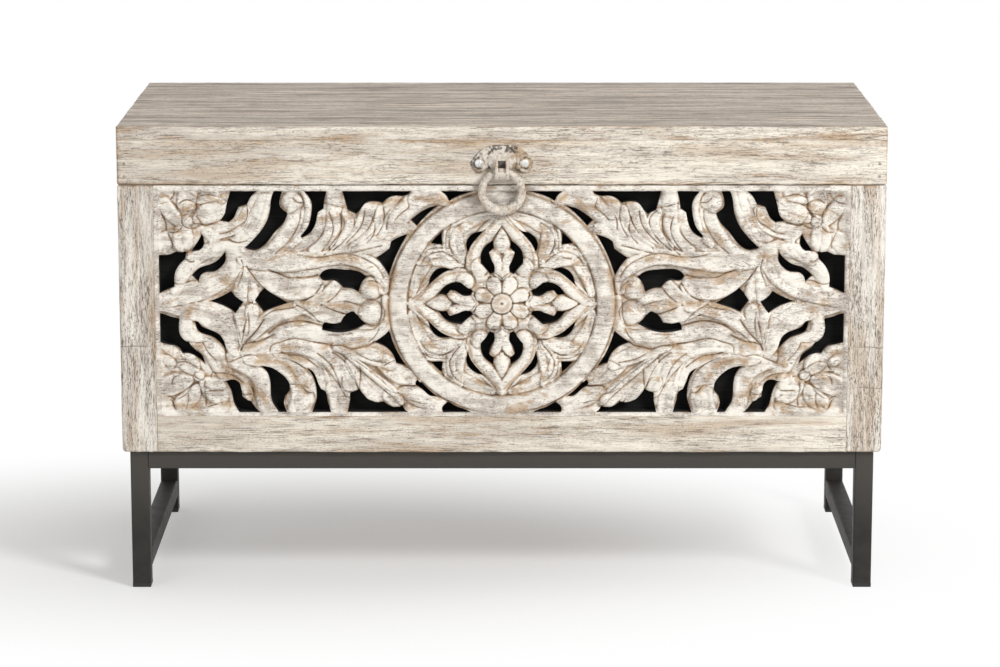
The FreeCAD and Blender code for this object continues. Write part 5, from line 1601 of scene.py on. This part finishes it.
def skin(grid, closed):
    """Points and outward faces of a row of rings that closes on itself, or that ends in two flat caps."""
    number = np.arange(grid.shape[0] * grid.shape[1]).reshape(grid.shape[:2])
    low, high = (number, np.roll(number, -1, 0)) if closed else (number[:-1], number[1:])
    faces = np.stack([low, high, np.roll(high, -1, 1), np.roll(low, -1, 1)], -1).reshape(-1, 4).tolist()
    if not closed:
        faces += [number[0].tolist(), number[-1][::-1].tolist()]
    points = grid.reshape(-1, 3)
    volume = 0.0
    for face in faces:
        for second, third in zip(face[1:], face[2:]):
            volume += np.dot(points[face[0]], np.cross(points[second], points[third]))
    return points, faces if volume > 0 else [face[::-1] for face in faces]


def plate_outline():
    """The plate's outline, from its drawn half and that half's mirror image."""
    other_half = []
    for run, before in zip(PLATE_HALF[:0:-1], PLATE_HALF[-2::-1]):
        other_half.append([(-x, z) for x, z in run[-2::-1] + before[-1:]])
    other_half[-1].pop()
    return closed_outline(PLATE_HALF + other_half)


def plate_mesh():
    """The pull's bow-shaped cast plate with a groove round its disc and round each screw."""
    pitch = 0.6
    disc_groove, screw_groove = 17.0, 6.5
    x, z = np.arange(-39, 39.1, pitch), np.arange(-23, 20.1, pitch)
    grid_x, grid_z = np.meshgrid(x, z)
    outline = plate_outline()
    away = segment_distance(grid_x, grid_z, outline)
    plate = np.where(inside_ring(grid_x, grid_z, outline), away, -away)
    r = np.hypot(grid_x, grid_z)
    screw = np.hypot(np.abs(grid_x) - PULL_SCREW_OUT, grid_z + PULL_SCREW_DROP)
    groove = bell(r - disc_groove, 0.9) * (np.abs(grid_z) < 14) + bell(screw - screw_groove, 0.8)
    rough = soften(np.random.default_rng(61).normal(size=r.shape), 2.0)
    rim = np.exp(-np.maximum(plate, 0) / 0.75)
    slope = unit((np.abs(grid_x) - 23) / 13) + unit((grid_z - 4) / 13)
    height = 3.0 + 0.8 * bell(r, 13) - 1.0 * groove - 1.1 * rim - 1.2 * slope + 1.3 * rough
    # Dark marks: painted shade in the grooves and in patches along the rim, dark patches towards the top
    # edge, and darker on the left lobe
    pit = 0.75 * groove * (0.6 + 4 * rough) + 0.7 * rim * (rough > -0.05)
    pit += unit((grid_z - 6) / 6) * (rough > 0.04) * 0.8
    pit += 0.6 * bell(grid_x + 33, 8)
    # Painted shade: the plate's face behind the lug's slot is fully darkened
    slot_shade_mask = (np.abs(grid_x) < 4.4) & (np.abs(grid_z + 7) < 7)
    levels = {"pit": np.where(slot_shade_mask, 1.0, unit(pit)), "stain": np.clip((grid_x - 4) / 20, -0.6, 0.45)}
    points, faces, shades = relief_mesh(
        x, z + PLATE_MIDDLE, plate, np.maximum(height, 0.8), FRONT_Y + 0.05, levels)
    del shades["deep"]
    return points, faces, shades


def ear_mesh(low, high):
    """One cheek of the pull's lug, with the bore that the ring hangs in."""
    angles = np.linspace(0, FULL_TURN, 48, endpoint=False)
    side = np.array(LUG_SIDE, float)
    bearing = np.unwrap(np.arctan2(side[:, 1], side[:, 0]))[::-1]
    reach = np.hypot(side[:, 0], side[:, 1])[::-1]
    reach = np.interp(angles, bearing - bearing[0], reach, period=FULL_TURN)
    angles = angles + bearing[0]
    rounding = ((0.0, 0.0), (0.0, 0.72), (0.35, 0.92), (1.0, 1.0))
    levels = [(low + inset, share) for inset, share in rounding]
    levels += [(high - inset, share) for inset, share in reversed(rounding)]
    grid = np.zeros((len(angles), len(levels), 3))
    for place, (x, share) in enumerate(levels):
        radius = LUG_BORE + (reach - LUG_BORE) * share
        grid[:, place, 0] = x
        grid[:, place, 1] = HANG_Y - radius * np.cos(angles)
        grid[:, place, 2] = HANG_Z + radius * np.sin(angles)
    return skin(grid, closed=True)


def cheeks_mesh():
    """Both cheeks of the lug as one mesh."""
    points, faces = [], []
    for low, high in CHEEKS:
        ear, sides = ear_mesh(low, high)
        faces += [[n + len(points) for n in face] for face in sides]
        points += ear.tolist()
    return points, faces


def lip_mesh():
    """The rounded lip that joins both cheeks under the ring."""
    angles = np.radians(np.linspace(-118, 8, 22))
    turn = np.linspace(0, FULL_TURN, 16, endpoint=False)
    half_width, mean_radius, half_thick = 9.2, 8.2, 1.25
    end_sizes = (0.05, 0.7, 0.92)
    grid = np.zeros((len(angles), len(turn), 3))
    for place, angle in enumerate(angles):
        end = min(place, len(angles) - 1 - place)
        size = end_sizes[end] if end < len(end_sizes) else 1.0
        across = half_width * np.sign(np.cos(turn)) * np.abs(np.cos(turn)) ** 0.6
        radial = mean_radius + half_thick * size * np.sin(turn)
        grid[place, :, 0] = across * size * (1 - 0.16 * abs(angle + 0.95))
        grid[place, :, 1] = HANG_Y - radial * np.cos(angle)
        grid[place, :, 2] = HANG_Z + radial * np.sin(angle)
    return skin(grid, closed=False)


def ring_mesh():
    """The loose ring: even wire where it hangs, thicker and rougher towards its lowest point."""
    generator = np.random.default_rng(62)
    around = np.linspace(0, FULL_TURN, 112, endpoint=False)
    section = np.linspace(0, FULL_TURN, 20, endpoint=False)
    low = 0.5 - 0.5 * np.cos(around)
    swell = unit((low - 0.25) / 0.75)
    wire = LOOSE_RING_WIRE + 1.5 * swell ** 1.5
    beaten = 0.22 * ripple(around * LOOSE_RING_OUTER, generator, 6, 0.02, 0.08) * swell
    wire = wire[:, None] + beaten[:, None] + 0.12 * swell[:, None] * np.sin(3 * section + 9 * around[:, None])
    centre = LOOSE_RING_OUTER - wire.max(1) - 0.02
    centre = np.where(low < 0.25, LOOSE_RING_CENTRE, np.minimum(centre, LOOSE_RING_CENTRE))
    radius = centre[:, None] + wire * np.cos(section)
    grid = np.zeros((*wire.shape, 3))
    grid[..., 0] = radius * np.sin(around)[:, None]
    grid[..., 1] = HANG_Y + wire * np.sin(section)
    grid[..., 2] = HANG_Z - LOOSE_RING_CENTRE + radius * np.cos(around)[:, None]
    # Painted shade: the ring darkens round its sides and back, away from its front
    grime_and_shade = 0.15 + 0.7 * unit(0.5 + np.sin(section)) + np.zeros(wire.shape)
    return *skin(grid, closed=True), grime_and_shade.ravel()


class TRUNK_OT_pull(bpy.types.Operator):
    """Cast the pull's plate, its lug and its loose ring"""
    bl_idname = "trunk.pull"
    bl_label = "Pull"

    def execute(self, context):
        colours = context.scene.trunk_colours
        iron = washed_iron(colours.pull_wash, tinted(colours.bare_wood, 0.8))

        def cast(name, points, faces, node, body="lid", **shades):
            new_piece(name, points, faces, iron, body, "pull_iron", [node], 50.0, **shades)

        points, faces, shades = plate_mesh()
        cast("pull_cast_plate", points, faces, "pull_plate", **shades)
        for name, (points, faces) in (("pull_lug_cheeks", cheeks_mesh()), ("pull_lug_lip", lip_mesh())):
            count = len(points)
            cast(name, points, faces, "pull_plate", pit=np.zeros(count), stain=np.full(count, -0.5))
        points, faces, grime_and_shade = ring_mesh()
        stain = np.full(len(points), -0.3)
        cast("pull_loose_ring", points, faces, "pull_ring", "ring", pit=grime_and_shade, stain=stain)
        return {"FINISHED"}


# The studio
def stage_white():
    """Pale floor: it takes the shadow, and for the camera it glows white with a painted light that grows away
    from the trunk.
    """
    f = Finish("studio_floor")
    f.tree.nodes.remove(f.shader)
    diffuse = f.node("ShaderNodeBsdfDiffuse", {"Color": (0.93, 0.93, 0.93, 1)})
    white = f.node("ShaderNodeEmission", {"Color": (1, 1, 1, 1), "Strength": 1.0})
    ground = f.node("ShaderNodeMapping", {
        "Vector": f.place(), "Location": (0.2, 0.0, 0.0), "Scale": (0.8, 1.3, 1.0)})
    gradient = f.node("ShaderNodeTexGradient", {"Vector": ground.outputs["Vector"]},
                      gradient_type="SPHERICAL")
    far = f.ramp(gradient.outputs["Fac"], 0.27, 0.8, 1.0, 0.35)
    mix = f.node("ShaderNodeMixShader", {
        0: f.times(far, f.in_sight()), 1: diffuse.outputs[0], 2: white.outputs[0]})
    f.put(f.tree.nodes["Material Output"].inputs["Surface"], mix.outputs[0])
    return f.material


def studio_world(strength):
    """Even light from all round, seen as white."""
    world = bpy.data.worlds.new("studio_world")
    world.use_nodes = True
    world.node_tree.nodes.clear()
    sky = NodeTree(world.node_tree)
    light = sky.node("ShaderNodeBackground", {"Color": (1.0, 0.99, 0.97, 1), "Strength": strength})
    white = sky.node("ShaderNodeBackground", {"Color": (1, 1, 1, 1), "Strength": 1.0})
    mix = sky.node("ShaderNodeMixShader", {0: sky.in_sight(), 1: light.outputs[0], 2: white.outputs[0]})
    sky.node("ShaderNodeOutputWorld", {"Surface": mix.outputs[0]})
    bpy.context.scene.world = world


def soft_lamp(name, place, target, size, power):
    """A large square lamp that faces a point."""
    lamp = bpy.data.lights.new(name, "AREA")
    lamp.shape = "SQUARE"
    lamp.size = size
    lamp.energy = power
    holder = put_in_scene(name, lamp)
    holder.location = place
    holder.rotation_euler = (Vector(target) - Vector(place)).to_track_quat("-Z", "Y").to_euler()


class TRUNK_OT_stage(bpy.types.Operator):
    """Set the floor, the studio light and the camera"""
    bl_idname = "trunk.stage"
    bl_label = "Stage"

    def execute(self, context):
        reach = 12.0
        mesh = bpy.data.meshes.new("floor")
        corners = [(-reach, -reach, 0), (reach, -reach, 0), (reach, reach, 0), (-reach, reach, 0)]
        mesh.from_pydata(corners, [], [(0, 1, 2, 3)])
        mesh.materials.append(stage_white())
        floor = put_in_scene("floor", mesh)
        studio_world(strength=0.46)
        soft_lamp("key_lamp", (2.8, -3.2, 3.0), (0, 0, 0.3), size=1.1, power=160.0)
        soft_lamp("fill_lamp", (-3.2, -3.6, 1.6), (0, 0, 0.35), size=2.0, power=26.0)
        camera = bpy.data.cameras.new("photo_camera")
        camera.lens = 126.8
        camera.sensor_width = 36.0
        looks_down = 11.42
        holder = put_in_scene("photo_camera", camera)
        holder.location = (-0.0022, -4.268, 1.1335)
        holder.rotation_euler = (math.radians(90.0 - looks_down), 0.0, 0.0)
        context.scene.camera = holder
        context.scene.view_settings.view_transform = "Standard"
        return {"FINISHED"}


class TRUNK_PT_parts(bpy.types.Panel):
    """Lists the trunk's pieces, sizes and colours"""
    bl_idname = "TRUNK_PT_parts"
    bl_label = "Carved trunk"
    bl_space_type = "VIEW_3D"
    bl_region_type = "UI"
    bl_category = "Trunk"

    def draw(self, context):
        for group in (context.scene.trunk_sizes, context.scene.trunk_colours):
            box = self.layout.box()
            for key in group.bl_rna.properties.keys():
                if key not in ("rna_type", "name"):
                    box.prop(group, key)
        for operator in OPERATORS:
            self.layout.operator(operator.bl_idname)


OPERATORS = (
    TRUNK_OT_box_boards, TRUNK_OT_carved_front, TRUNK_OT_lid_boards, TRUNK_OT_inside_boards, TRUNK_OT_stand,
    TRUNK_OT_hinges, TRUNK_OT_fasteners, TRUNK_OT_pull, TRUNK_OT_stage,
)
CLASSES = (TrunkSizes, TrunkColours, *OPERATORS, TRUNK_PT_parts)


def register():
    for kind in CLASSES:
        bpy.utils.register_class(kind)
    bpy.types.Scene.trunk_sizes = bpy.props.PointerProperty(type=TrunkSizes)
    bpy.types.Scene.trunk_colours = bpy.props.PointerProperty(type=TrunkColours)


def unregister():
    del bpy.types.Scene.trunk_colours
    del bpy.types.Scene.trunk_sizes
    for kind in reversed(CLASSES):
        bpy.utils.unregister_class(kind)


def main():
    register()
    bpy.ops.trunk.box_boards()
    bpy.ops.trunk.carved_front()
    bpy.ops.trunk.lid_boards()
    bpy.ops.trunk.inside_boards()
    bpy.ops.trunk.stand()
    bpy.ops.trunk.hinges()
    bpy.ops.trunk.fasteners()
    bpy.ops.trunk.pull()
    bpy.ops.trunk.stage()


if __name__ == "__main__":
    main()
